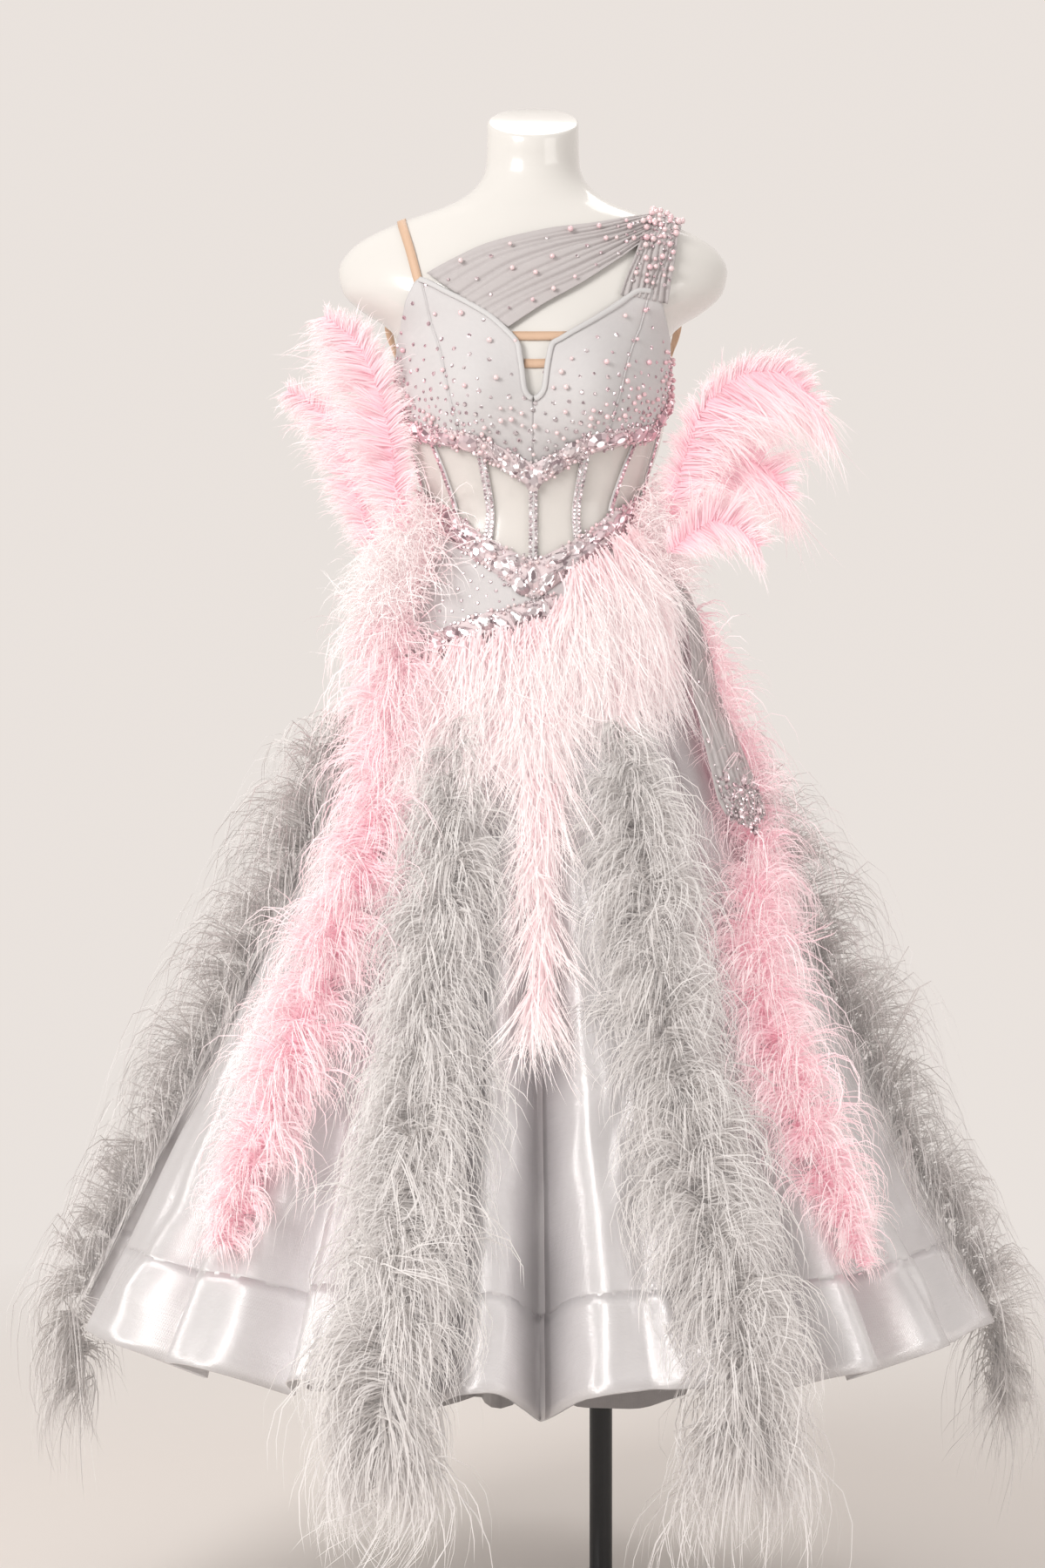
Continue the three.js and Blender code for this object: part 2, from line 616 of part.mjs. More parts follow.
// A patch stretched between four edges, each a function from 0 to 1.
function patch({ foot, top, start, end }) {
  const corner = (edge, share, key) => edge(share)[key];
  const blend = (u, v, key) => (
    mix(foot(u)[key], top(u)[key], v) + mix(start(v)[key], end(v)[key], u)
    - mix(
      mix(corner(foot, 0, key), corner(foot, 1, key), u),
      mix(corner(top, 0, key), corner(top, 1, key), u),
      v,
    )
  );
  return (u, v, out) => worn(blend(u, v, 'at'), blend(u, v, 'z'), out);
}

function addCups() {
  const seam = 0.09;
  ['left', 'right'].forEach((side) => {
    const sign = side === 'left' ? -1 : 1;
    const keys = ['at', 'z'];
    const armhole = route([{ at: sign * (90 - seam), z: SIDE_TOP }, ...ARMHOLE[side].map(bodicePlace)], keys);
    const neckline = route(NECKLINE[side].map(bodicePlace), keys);
    const tip = bodicePlace(NECKLINE[side][0]);
    const foot = (from, to) => (u) => {
      const at = mix(from, to, u) * sign;
      return { at, z: underbust(at) + SEAM / 2 };
    };
    const princess = (shift) => (v) => ({
      at: mix(PRINCESS_FOOT * sign, tip.at, v) + shift * sign,
      z: mix(underbust(PRINCESS_FOOT) + SEAM / 2, tip.z, v),
    });
    const moved = (edge, shift) => (u) => ({ at: edge(u).at + shift(u) * sign, z: edge(u).z });
    const sideCup = patch({
      foot: foot(90 - seam, PRINCESS_FOOT + seam),
      top: moved(armhole, (u) => u * seam),
      start: (v) => ({ at: sign * (90 - seam), z: mix(underbust(90) + SEAM / 2, SIDE_TOP, v) }),
      end: princess(seam),
    });
    const opening = [{ x: 0.2 * sign, z: underbust(0) }, { x: 0.2 * sign, z: 1318 }];
    const inner = route([...opening, ...KEYHOLE[side].slice().reverse()].map(bodicePlace), keys);
    const centreCup = patch({
      foot: foot(PRINCESS_FOOT - seam, 0.09),
      top: moved(neckline, (u) => (u - 1) * seam),
      start: princess(-seam),
      end: inner,
    });
    const size = { ...LAYERS.cup, columns: 6, rows: 9 };
    add(`cup_side_${side}`, wall(sideCup, { ...size, columns: 5 }), MATERIALS.crepe);
    add(`cup_centre_${side}`, wall(centreCup, size), MATERIALS.crepe);
  });
}

// A panel of the bodice between two angles and two lines round the body.
function bodicePanel(name, material, layer, { from, to, low, high, columns, rows }) {
  const place = (u, v, out) => {
    const at = mix(from, to, u);
    return worn(at, mix(low(at), high(at), v), out);
  };
  add(name, wall(place, { ...layer, columns, rows }), material);
}

function addBodice() {
  const edge = 0.1;
  const front = { from: -90 + edge, to: 90 - edge };
  const back = { from: 90 + edge, to: 270 - edge };
  addCups();
  bodicePanel('bodice_back', MATERIALS.crepe, LAYERS.cup, {
    ...back, low: (at) => underbust(at) + SEAM / 2, high: () => SIDE_TOP, columns: 14, rows: 2,
  });
  const waist = { low: (at) => beltline(at) + SEAM / 2, high: (at) => underbust(at) - SEAM / 2 };
  bodicePanel('midriff_front', MATERIALS.mesh, LAYERS.midriff, { ...front, ...waist, columns: 20, rows: 5 });
  bodicePanel('midriff_back', MATERIALS.mesh, LAYERS.midriff, { ...back, ...waist, columns: 14, rows: 4 });
  const hipRows = [0, 0.3, 0.55, 0.75, 0.85, 0.93, 1];
  const hips = { low: () => SKIRT_TOP + SEAM / 2, high: (at) => beltline(at) - SEAM / 2 };
  bodicePanel('yoke_front', MATERIALS.crepe, LAYERS.yoke, { ...front, ...hips, columns: 18, rows: hipRows });
  bodicePanel('yoke_back', MATERIALS.crepe, LAYERS.yoke, { ...back, ...hips, columns: 14, rows: hipRows });
}

function addBoning() {
  BONING.forEach(({ name, top, foot }) => {
    const place = (u, v, out) => {
      const at = mix(foot, top, v);
      const z = mix(beltline(at) + 4, underbust(at) - 3, v);
      const half = BONING_WIDTH / 2 / (formHalf(z) * DEGREE);
      return worn(at + mix(-half, half, u), z, out);
    };
    add(name, wall(place, { ...LAYERS.boning, columns: 1, rows: 5 }), MATERIALS.crystal);
  });
}

function addJewelledBands() {
  bodicePanel('bust_band', MATERIALS.crystal, LAYERS.trim, {
    from: -88, to: 88, columns: 28, rows: 1,
    low: (at) => underbust(at) - 4,
    high: (at) => underbust(at) + BUST_BAND.tall + BUST_BAND.more * hump(at, BUST_BAND.spread),
  });
  bodicePanel('belt_band', MATERIALS.crystal, LAYERS.trim, {
    from: -88, to: 88, columns: 28, rows: 3, low: beltFoot, high: (at) => beltline(at) + 4,
  });
  const hip = (at) => read(HIP_LINE, 'at', 'z', at);
  bodicePanel('hip_band', MATERIALS.crystal, LAYERS.trim, {
    from: HIP_BAND.from, to: HIP_BAND.to, columns: 8, rows: 1,
    low: (at) => hip(at) - HIP_BAND.tall / 2, high: (at) => hip(at) + HIP_BAND.tall / 2,
  });
}

// The piping that covers each half's neckline and keyhole, laid inwards from that edge.
function addBindings() {
  ['left', 'right'].forEach((side) => {
    const inward = side === 'left' ? 1 : -1;
    const edge = [...NECKLINE[side], ...KEYHOLE[side].slice(1)];
    const place = (u, row, out) => {
      const here = edge[row];
      const before = edge[Math.max(row - 1, 0)];
      const after = edge[Math.min(row + 1, edge.length - 1)];
      const along = new THREE.Vector2(after.x - before.x, after.z - before.z).normalize();
      const shift = u * BINDING_WIDTH * inward;
      const point = bodicePlace({ x: here.x + along.y * shift, z: here.z - along.x * shift });
      return worn(point.at, point.z, out);
    };
    const rows = edge.map((_, i) => i);
    add(`binding_${side}`, wall(place, { ...LAYERS.trim, columns: 1, rows }), MATERIALS.crepe);
  });
}

function addKeyholeBars() {
  KEYHOLE_BARS.forEach(({ name, from, to, z, tall }) => {
    const place = (u, v, out) => {
      const { at } = bodicePlace({ x: mix(from, to, u), z });
      return worn(at, z + (v - 0.5) * tall, out);
    };
    add(name, wall(place, { ...LAYERS.keyholeBar, columns: 4, rows: 1 }), MATERIALS.elastic);
  });
}

// A pleated sheet on the front of the form, between its two long edges.
function addDrape(name, { upper, lower }, columns) {
  const high = route(upper, ['x', 'z']);
  const low = route(lower, ['x', 'z']);
  const place = (u, v, out) => {
    const [top, foot] = [high(u), low(u)];
    const pleat = Math.round(v * PLEATS.rows) % 2 ? PLEATS.deep : 0;
    return onFront(mix(foot.x, top.x, v), mix(foot.z, top.z, v), out + pleat);
  };
  add(name, wall(place, { ...LAYERS.drape, columns, rows: PLEATS.rows }), MATERIALS.chiffon);
}

// A ribbon laid over the form through a few points, domed by `crown` across its width.
function addRibbon(name, points, material, { from, to, crown = 0, lengths, columns }) {
  const curve = new THREE.CatmullRomCurve3(points.map(({ x, y, z }) => laid(new THREE.Vector3(x, y, z), 0)));
  const place = (u, v, out) => {
    const centre = laid(curve.getPoint(v), 0);
    const normal = laid(curve.getPoint(v), 1).sub(centre);
    const along = curve.getTangent(v);
    const width = points[Math.round(v * (points.length - 1))].width;
    const side = along.cross(normal).normalize().multiplyScalar((u - 0.5) * width);
    const dome = out > from ? crown * (1 - (2 * u - 1) ** 2) : 0;
    return laid(centre.add(side), out + dome);
  };
  add(name, wall(place, { from, to, columns, rows: lengths }), material);
}

function addStraps() {
  addDrape('drape_chest', CHEST_DRAPE, 8);
  addDrape('drape_shoulder', SHOULDER_DRAPE, 4);
  addRibbon('strap_left', STRAP_LEFT, MATERIALS.elastic, { ...LAYERS.strap, lengths: 22, columns: 1 });
  addRibbon('strap_right', STRAP_RIGHT, MATERIALS.elastic, { ...LAYERS.strap, lengths: 9, columns: 1 });
  const knot = { from: 2, to: 4.5, crown: 7, lengths: 8, columns: 4 };
  addRibbon('shoulder_knot', SHOULDER_KNOT, MATERIALS.crystal, knot);
}

// The angles where the cloth turns: at each valley, on its flanks, and at the panel's two seams.
function panelAngles({ from, to }) {
  const angles = VALLEYS.flatMap((valley) => VALLEY_STEPS.map((step) => valley.at + step * valley.wide));
  const inside = angles.map((at) => (at < from ? at + 360 : at)).filter((at) => at > from + 1 && at < to - 1);
  return [from, ...inside.sort((a, b) => a - b), to];
}

function addSkirt() {
  const seamHeight = HEM_HEIGHT + HEM_BAND * 0.89;
  QUARTERS.forEach((quarter) => {
    const angles = panelAngles(quarter);
    const place = (at, z, out) => {
      const radius = flareRadius(FLARE.front, skirtShare(z));
      const gap = SEAM / 2 / (radius * DEGREE);
      const inset = { [quarter.from]: gap, [quarter.to]: -gap }[at] ?? 0;
      return lifted(skirt, at + inset, z, out);
    };
    const drops = [0, 0.08, 0.22, 0.4, 0.6, 0.8, 1];
    const panel = drops.map((t) => mix(seamHeight + SEAM / 2, SKIRT_TOP - SEAM / 2, 1 - t)).reverse();
    const hem = [HEM_HEIGHT, mix(HEM_HEIGHT, seamHeight, 0.5), seamHeight - SEAM / 2];
    add(`skirt_${quarter.name}`, wall(place, {
      from: 0, to: SKIRT_CLOTH, columns: angles, rows: panel,
    }), MATERIALS.satin);
    add(`hem_${quarter.name}`, wall(place, {
      from: 0, to: HEM_CLOTH, columns: angles, rows: hem,
    }), MATERIALS.satin);
  });
  add('petticoat', wall((u, z, out) => lifted(petticoat, u * 360, z, out), {
    from: 0, to: 1, columns: steps(RUFFLES.count * 4).slice(0, -1), ring: true,
    rows: [PETTICOAT_HEM, 460, 660, 860, 960, PETTICOAT_TOP],
  }), MATERIALS.organza);
}

// The fringe's plain solid: its foot is level, with one long tongue at the centre front.
function addFringe() {
  const { z: foot, tongue, middle, wide } = FRINGE_FOOT;
  const place = (at, v, out) => {
    const low = foot - tongue * Math.exp(-(((at - middle) / wide) ** 4));
    return outside(at, mix(low, read(FRINGE_TOP, 'at', 'z', at), v), out);
  };
  add('fringe_front', wall(place, { ...LAYERS.fringe, columns: FRINGE_COLUMNS, rows: 6 }), MATERIALS.blushFeather);
}

// A feather boa's plain solid: flat against the skirt, domed outside, rounded at both ends.
function addBoa({ name, half, path }) {
  const table = path.map(([z, at]) => ({ z, at })).sort((a, b) => a.z - b.z);
  const [low, high] = [table[0].z, table.at(-1).z];
  const inner = [-1, -0.5, 0, 0.5, 1];
  const dome = [[0.8, 0.6], [0.4, 0.92], [0, 1], [-0.4, 0.92], [-0.8, 0.6]];
  const hem = Math.max(low, HEM_HEIGHT);
  const heights = [...(low < hem ? [low, mix(low, hem, 0.5)] : []), ...steps(BOA.rows).map((t) => mix(hem, high, t))];
  const rings = heights.map((z) => {
    const at = read(table, 'z', 'at', z);
    const full = z === low || z === high ? 0.6 : 1;
    const point = (side, rise) => outside(at + side * half * full, z, BOA.lift + rise * BOA.dome * full);
    return [...inner.map((side) => point(side, 0)), ...dome.map(([side, rise]) => point(side, rise))];
  });
  add(name, loft(rings), name.includes('pink') ? MATERIALS.pinkFeather : MATERIALS.greyFeather);
}

function addTuft({ name, from, to, low, high }) {
  const { from: base, to: crown } = LAYERS.tuft;
  const place = (u, v, out) => {
    const dome = Math.sqrt(Math.sin(Math.PI * mix(0.08, 0.92, u)) * Math.sin(Math.PI * mix(0.12, 0.88, v)));
    return worn(mix(from, to, u), mix(low, high, v), out > base ? mix(base, crown, dome) : base);
  };
  add(name, wall(place, { from: base, to: crown, columns: 5, rows: 4 }), MATERIALS.pinkFeather);
}

// A plume is a thin blade: six points round each row, thickest along the quill.
function addPlume({ name, y, rows }) {
  const rings = rows.map(({ x, z, left, right, turn }) => {
    const point = (along, side) => new THREE.Vector3(
      x + along * Math.cos(turn * DEGREE), y + side * PLUME_THICK, z + along * Math.sin(turn * DEGREE),
    );
    return [
      point(-left, 0), point(-left * 0.4, -1), point(right * 0.4, -1),
      point(right, 0), point(right * 0.4, 1), point(-left * 0.4, 1),
    ];
  });
  add(name, loft(rings), MATERIALS.pinkFeather);
}

function addFloat() {
  const foot = FLOAT[0].z;
  const place = (u, z, out) => {
    const drop = z === foot ? FLOAT_POINT * (1 - Math.abs(2 * u - 1)) : 0;
    const pleat = Math.round(u * 8) % 2 ? 2.5 : 0;
    const at = read(FLOAT, 'z', 'at', z) + (2 * u - 1) * read(FLOAT, 'z', 'half', z);
    return outside(at, z - drop, read(FLOAT, 'z', 'out', z) + out + pleat);
  };
  add('float_hip', wall(place, { from: 0, to: 1.6, columns: 8, rows: [882, 930, 990, 1040, 1095, 1146] }), MATERIALS.chiffon);
}

addForm();
addStand();
addBodice();
addBoning();
addJewelledBands();
addBindings();
addKeyholeBars();
addStraps();
addSkirt();
addFringe();
BOAS.forEach(addBoa);
TUFTS.forEach(addTuft);
PLUMES.forEach(addPlume);
addFloat();

export default dress;
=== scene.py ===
"""A ballroom dance dress on a limbless dress form: every surface that shows, in metres.

A place on the dress is an angle and a height: `at` is in degrees round the body, from 0 at the
centre front through 90 on the +X side. `out` is a distance from the form, along its normal.
"""

import bmesh
import bpy
import numpy as np
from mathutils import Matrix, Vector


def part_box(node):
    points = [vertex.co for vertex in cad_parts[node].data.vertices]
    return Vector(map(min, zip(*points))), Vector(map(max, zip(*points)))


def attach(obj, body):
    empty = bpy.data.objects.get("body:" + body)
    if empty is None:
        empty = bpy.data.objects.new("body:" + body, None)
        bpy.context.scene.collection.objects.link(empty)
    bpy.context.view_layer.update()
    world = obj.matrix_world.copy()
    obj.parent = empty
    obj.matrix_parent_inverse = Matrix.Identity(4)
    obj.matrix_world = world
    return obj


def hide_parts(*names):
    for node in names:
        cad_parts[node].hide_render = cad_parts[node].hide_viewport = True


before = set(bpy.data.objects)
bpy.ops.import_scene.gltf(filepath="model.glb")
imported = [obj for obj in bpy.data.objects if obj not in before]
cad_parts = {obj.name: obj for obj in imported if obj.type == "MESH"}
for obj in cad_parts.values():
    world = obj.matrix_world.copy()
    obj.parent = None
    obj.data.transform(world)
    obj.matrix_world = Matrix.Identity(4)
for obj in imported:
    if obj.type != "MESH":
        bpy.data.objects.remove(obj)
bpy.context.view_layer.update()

DOWN = np.array([0.0, 0.0, -1.0])

# ------------------------------------------------------------------ driving sizes

SKIRT_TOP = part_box("skirt_front_left")[1][2]
HEM = 0.362
HEM_BAND_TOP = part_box("hem_front_left")[1][2]
ARMPIT = 1.408
FORM_TOP = 1.650

# Height, half width, depth in front, depth behind, and the middle line, which leans back.
FORM = np.array([
    (0.860, 0.145, 0.090, 0.088, 0.000), (0.900, 0.156, 0.098, 0.098, 0.002),
    (0.960, 0.168, 0.105, 0.110, 0.005), (1.030, 0.173, 0.106, 0.116, 0.006),
    (1.090, 0.163, 0.100, 0.108, 0.004), (1.140, 0.146, 0.092, 0.095, 0.002),
    (1.180, 0.125, 0.085, 0.082, 0.000), (1.215, 0.113, 0.083, 0.076, 0.000),
    (1.255, 0.122, 0.092, 0.080, 0.000), (1.300, 0.136, 0.104, 0.086, 0.000),
    (1.343, 0.144, 0.110, 0.089, 0.002), (1.380, 0.145, 0.106, 0.090, 0.003),
    (1.408, 0.148, 0.101, 0.090, 0.004), (1.424, 0.160, 0.098, 0.089, 0.006),
    (1.441, 0.187, 0.094, 0.088, 0.008), (1.462, 0.208, 0.090, 0.085, 0.010),
    (1.486, 0.213, 0.085, 0.082, 0.014), (1.510, 0.200, 0.079, 0.078, 0.018),
    (1.527, 0.174, 0.075, 0.074, 0.020), (1.543, 0.135, 0.070, 0.070, 0.022),
    (1.556, 0.098, 0.066, 0.066, 0.024), (1.570, 0.073, 0.062, 0.061, 0.024),
    (1.585, 0.058, 0.056, 0.056, 0.022), (1.600, 0.0515, 0.052, 0.052, 0.018),
    (1.625, 0.0503, 0.050, 0.050, 0.014), (1.650, 0.050, 0.050, 0.050, 0.012),
])
HALF, FRONT, BACK, MID = 1, 2, 3, 4
BUST = {"out": 0.026, "apart": 0.072, "height": 1.338, "wide": 0.045, "tall": 0.050}
NECK_CUT = {"from": 1.590, "slope": 0.53}

# Angle round the body from the centre front, and height.
UNDERBUST = np.array([
    (0, 1.243), (10, 1.256), (20, 1.271), (28, 1.281), (46, 1.2915), (60, 1.297), (75, 1.319),
    (90, 1.343), (180, 1.335),
])
BELTLINE = np.array([
    (0, 1.156), (15, 1.173), (30, 1.191), (48, 1.214), (65, 1.228), (90, 1.243), (180, 1.243),
])
HIP_LINE = np.array([(-44, 1.065), (-21, 1.090), (0, 1.104), (8, 1.112)])
FRINGE_TOP = np.array([
    (-40, 1.054), (-21, 1.077), (0, 1.091), (9, 1.102), (13, 1.139), (30, 1.166), (44, 1.187), (60, 1.199),
])
SIDE_TOP = 1.385
PRINCESS_FOOT = 33

# x and height along each half's upper edge.
ARMHOLE = {
    "left": [(-0.1435, 1.391), (-0.1397, 1.415), (-0.1349, 1.440), (-0.1257, 1.459), (-0.1184, 1.4646)],
    "right": [(0.1445, 1.391), (0.143, 1.412), (0.1365, 1.438), (0.130, 1.449), (0.1233, 1.4538)],
}
NECKLINE = {
    "left": [
        (-0.1184, 1.4646), (-0.1069, 1.460), (-0.085, 1.4475), (-0.0632, 1.4344), (-0.042, 1.419),
        (-0.0252, 1.4024), (-0.0140, 1.388),
    ],
    "right": [
        (0.1233, 1.4538), (0.1082, 1.4524), (0.0919, 1.4405), (0.074, 1.427), (0.0559, 1.4134),
        (0.029, 1.3955), (0.0175, 1.388),
    ],
}
KEYHOLE = {
    "left": [
        (-0.0140, 1.388), (-0.0112, 1.371), (-0.0092, 1.354), (-0.0076, 1.341), (-0.0040, 1.3345),
        (-0.0010, 1.333),
    ],
    "right": [
        (0.0175, 1.388), (0.0134, 1.371), (0.0112, 1.354), (0.0094, 1.341), (0.0050, 1.3345),
        (0.0012, 1.333),
    ],
}
BONING = {
    "side_left": (-72, -75), "outer_left": (-52, -45), "inner_left": (-25, -22), "centre": (0, 0),
    "inner_right": (25, 22), "outer_right": (52, 45), "side_right": (72, 75),
}

# The skirt's radii at its top, how far each grows down to the hem, and by what power.
FLARE_SIDE = (0.1768, 0.313, 1.12)
FLARE_FRONT = (0.1098, 0.363, 1.1)
FLARE_BACK = (0.1198, 0.346, 1.1)
# Angle, depth and width of each valley between the godets.
VALLEYS = np.array([
    (-163, 0.062, 6.5), (-141, 0.070, 6), (-118, 0.060, 6), (-97, 0.055, 5.5), (-78, 0.050, 5),
    (-54, 0.085, 4.0), (-35, 0.080, 4.0), (-12, 0.050, 3.0), (1, 0.130, 3.3), (33, 0.070, 4.4),
    (50, 0.080, 4.0), (66, 0.070, 4.0), (85, 0.055, 5), (106, 0.062, 6), (127, 0.058, 6),
    (149, 0.068, 6.5), (172, 0.060, 6.5),
])
VALLEY_DROP = 0.42
SKIRT_LEAN = 0.006

# How far each layer stands off the form, and how much nearer the skirt's cloth is than the yoke's.
SHEER_OUT = 0.0034
CREPE_OUT = 0.0052
CUP_OUT = 0.0053
GROUND_OUT = 0.0070
BAND_STONES_OUT = 0.0074
SKIRT_NEARER = 0.0038
# How far the feathers take the cloth to reach outside the form at the hips.
YOKE_COVER = 0.006
# The form's mean radius at the bodice, and the width of the nude elastic.
FORM_RADIUS = 0.125
ELASTIC_WIDTH = 0.0095

QUARTERS = {
    "front_left": (-88, 2), "front_right": (2, 92), "back_right": (92, 182), "back_left": (182, 272),
}


# ------------------------------------------------------------------ reading tables

def read(table, where, column=1):
    """A column of a table on a smooth curve that never overshoots; its first column rises."""
    keys, values = table[:, 0], table[:, column]
    slopes = np.diff(values) / np.diff(keys)
    before = np.concatenate([slopes[:1], slopes])
    after = np.concatenate([slopes, slopes[-1:]])
    agree = before * after > 0
    total = np.where(agree, before + after, 1)
    tangents = np.where(agree, 2 * before * after / total, 0)
    place = np.clip(where, keys[0], keys[-1])
    row = np.clip(np.searchsorted(keys, place, side="right") - 1, 0, len(keys) - 2)
    span = keys[row + 1] - keys[row]
    t = (place - keys[row]) / span
    rise = t * t * (3 - 2 * t)
    bend = t * (1 - t) * span
    level = values[row] * (1 - rise) + values[row + 1] * rise
    return level + bend * ((1 - t) * tangents[row] - t * tangents[row + 1])


def route(points):
    """A polyline as a function of the share of its length."""
    points = np.array(points, float)
    lengths = np.concatenate([[0], np.cumsum(np.linalg.norm(np.diff(points, axis=0), axis=1))])
    shares = lengths / lengths[-1]
    return lambda share: np.stack([np.interp(share, shares, axis) for axis in points.T], -1)


def smooth_route(points, samples=12):
    """A rounded curve through a few points, as a function of the share of its length."""
    points = np.array(points, float)
    knots = np.arange(len(points))
    fine = np.linspace(0, len(points) - 1, (len(points) - 1) * samples + 1)
    row = np.clip(fine.astype(int), 0, len(points) - 2)
    t = (fine - row)[:, None]
    tangent = np.gradient(points, knots, axis=0)
    a, b = points[row], points[row + 1]
    ta, tb = tangent[row], tangent[row + 1]
    curve = (
        a * (2 * t**3 - 3 * t**2 + 1) + b * (3 * t**2 - 2 * t**3)
        + ta * (t**3 - 2 * t**2 + t) + tb * (t**3 - t**2)
    )
    return route(curve)


def mix(a, b, t):
    return a + (b - a) * t


def hump(distance, wide):
    return np.exp(-((distance / wide) ** 2))


def grids(*values):
    """Values as arrays of one common shape."""
    return np.broadcast_arrays(*(np.asarray(value, float) for value in values))


def signed(angle):
    """An angle brought to between -180 and 180 degrees."""
    return (angle + 180) % 360 - 180


def unit(vectors):
    return vectors / np.maximum(np.linalg.norm(vectors, axis=-1, keepdims=True), 1e-9)


def dice(name):
    """A random generator of its own for each piece, the same in every run."""
    return np.random.default_rng(sum(ord(letter) * (place + 1) for place, letter in enumerate(name)))


# ------------------------------------------------------------------ surfaces of the dress

def bust(x, z):
    return (
        BUST["out"] * hump(np.abs(x) - BUST["apart"], BUST["wide"])
        * hump(z - BUST["height"], BUST["tall"])
    )


def skin(at, z, whole=False):
    """The form's surface; above the armpit the cloth's guide stays between the arm caps."""
    at, z = grids(at, z)
    turn = np.radians(at)
    full = read(FORM, z, HALF)
    half = full if whole else np.where(z > ARMPIT, read(FORM, np.full_like(z, ARMPIT), HALF), full)
    x = half * np.sin(turn)
    reach = np.sqrt(np.clip(1 - (x / full) ** 2, 0, None))
    mid = read(FORM, z, MID)
    front = mid - (read(FORM, z, FRONT) + bust(x, z)) * reach
    back = mid + read(FORM, z, BACK) * reach
    return np.stack([x, np.where(np.cos(turn) >= 0, front, back), z], -1)


def down_skirt(z):
    """The share of the way from the top of the skirt to its hem."""
    return np.clip((SKIRT_TOP - z) / (SKIRT_TOP - HEM), 0, 1)


def flare_radius(sizes, z):
    top, grow, power = sizes
    share = down_skirt(z)
    return top + grow * share**power


def flare(at, z):
    """The smooth envelope of the skirt; below the hem it drops straight down."""
    at, z = grids(at, z)
    turn = np.radians(at)
    depth = np.where(np.cos(turn) >= 0, flare_radius(FLARE_FRONT, z), flare_radius(FLARE_BACK, z))
    mid = SKIRT_LEAN * (1 - down_skirt(z))
    return np.stack([flare_radius(FLARE_SIDE, z) * np.sin(turn), mid - depth * np.cos(turn), z], -1)


def lifted(surface, at, z, out):
    """A surface's points moved out along its normal."""
    at, z, out = grids(at, z, out)
    across = surface(at + 0.4, z) - surface(at - 0.4, z)
    up = surface(at, z + 0.0004) - surface(at, z - 0.0004)
    return surface(at, z) + unit(np.cross(across, up)) * out[..., None]


def worn(at, z, out):
    return lifted(skin, at, z, out)


def outside(at, z, out):
    """The outside of the dress below the waist: the yoke, and then the skirt's envelope."""
    z = np.asarray(z, float)
    upper = worn(at, np.maximum(z, SKIRT_TOP), out)
    lower = lifted(flare, at, np.minimum(z, SKIRT_TOP), np.asarray(out) - SKIRT_NEARER)
    return np.where((z >= SKIRT_TOP)[..., None], upper, lower)


def form_value(points):
    z = points[:, 2]
    mid = read(FORM, z, MID)
    in_front = points[:, 1] < mid
    depth = np.where(in_front, read(FORM, z, FRONT) + bust(points[:, 0], z), read(FORM, z, BACK))
    return np.hypot(points[:, 0] / read(FORM, z, HALF), (points[:, 1] - mid) / depth) - 1


def laid(points, out=0.0):
    """Lays nearby points on the form and moves them out."""
    points = np.array(points, float)
    for _ in range(8):
        value = form_value(points)
        slope = np.stack([(form_value(points + step) - value) / 2e-4 for step in np.eye(3) * 2e-4], -1)
        points = points - slope * (value / (slope**2).sum(-1))[:, None]
    return points + unit(slope) * np.broadcast_to(out, points[:, 0].shape)[:, None]


def on_front(x, z, out):
    mid = read(FORM, z, MID)
    reach = np.sqrt(np.clip(1 - (x / read(FORM, z, HALF)) ** 2, 0.02, None))
    return laid(np.stack([x, mid - (read(FORM, z, FRONT) + bust(x, z)) * reach, z], -1), out)


def bodice_angle(x, z):
    """The angle of a place on the bodice from its x and height."""
    half = read(FORM, np.minimum(z, ARMPIT), HALF)
    return np.degrees(np.arcsin(np.clip(x / half, -1, 1)))


def underbust(at):
    return read(UNDERBUST, np.abs(signed(np.asarray(at, float))))


def beltline(at):
    return read(BELTLINE, np.abs(signed(np.asarray(at, float))))


def belt_foot(at):
    return beltline(at) - 0.025 - 0.012 * hump(np.asarray(at, float), 12)


# ------------------------------------------------------------------ shader node helpers

def link(tree, source, target):
    tree.links.new(source, target)


def add_node(tree, kind, **settings):
    node = tree.nodes.new(kind)
    for name, value in settings.items():
        if hasattr(node, name):
            setattr(node, name, value)
        else:
            node.inputs[name.replace("_", " ")].default_value = value
    return node


def group(name, inputs, outputs):
    """An empty shader group with named float, colour and vector sockets."""
    tree = bpy.data.node_groups.new(name, "ShaderNodeTree")
    for label, kind, value in inputs:
        socket = tree.interface.new_socket(label, in_out="INPUT", socket_type=kind)
        if value is not None:
            socket.default_value = value
    for label, kind in outputs:
        tree.interface.new_socket(label, in_out="OUTPUT", socket_type=kind)
    return tree, tree.nodes.new("NodeGroupInput"), tree.nodes.new("NodeGroupOutput")


def math_node(tree, operation, a, b=None):
    node = add_node(tree, "ShaderNodeMath", operation=operation)
    for socket, value in zip(node.inputs, (a, b)):
        if value is None:
            continue
        if isinstance(value, (int, float)):
            socket.default_value = value
        else:
            link(tree, value, socket)
    return node.outputs[0]


def colour_mix(tree, factor, a, b):
    node = add_node(tree, "ShaderNodeMix", data_type="RGBA")
    for socket, value in ((node.inputs[0], factor), (node.inputs[6], a), (node.inputs[7], b)):
        if isinstance(value, (int, float, tuple)):
            socket.default_value = value
        else:
            link(tree, value, socket)
    return node.outputs[2]


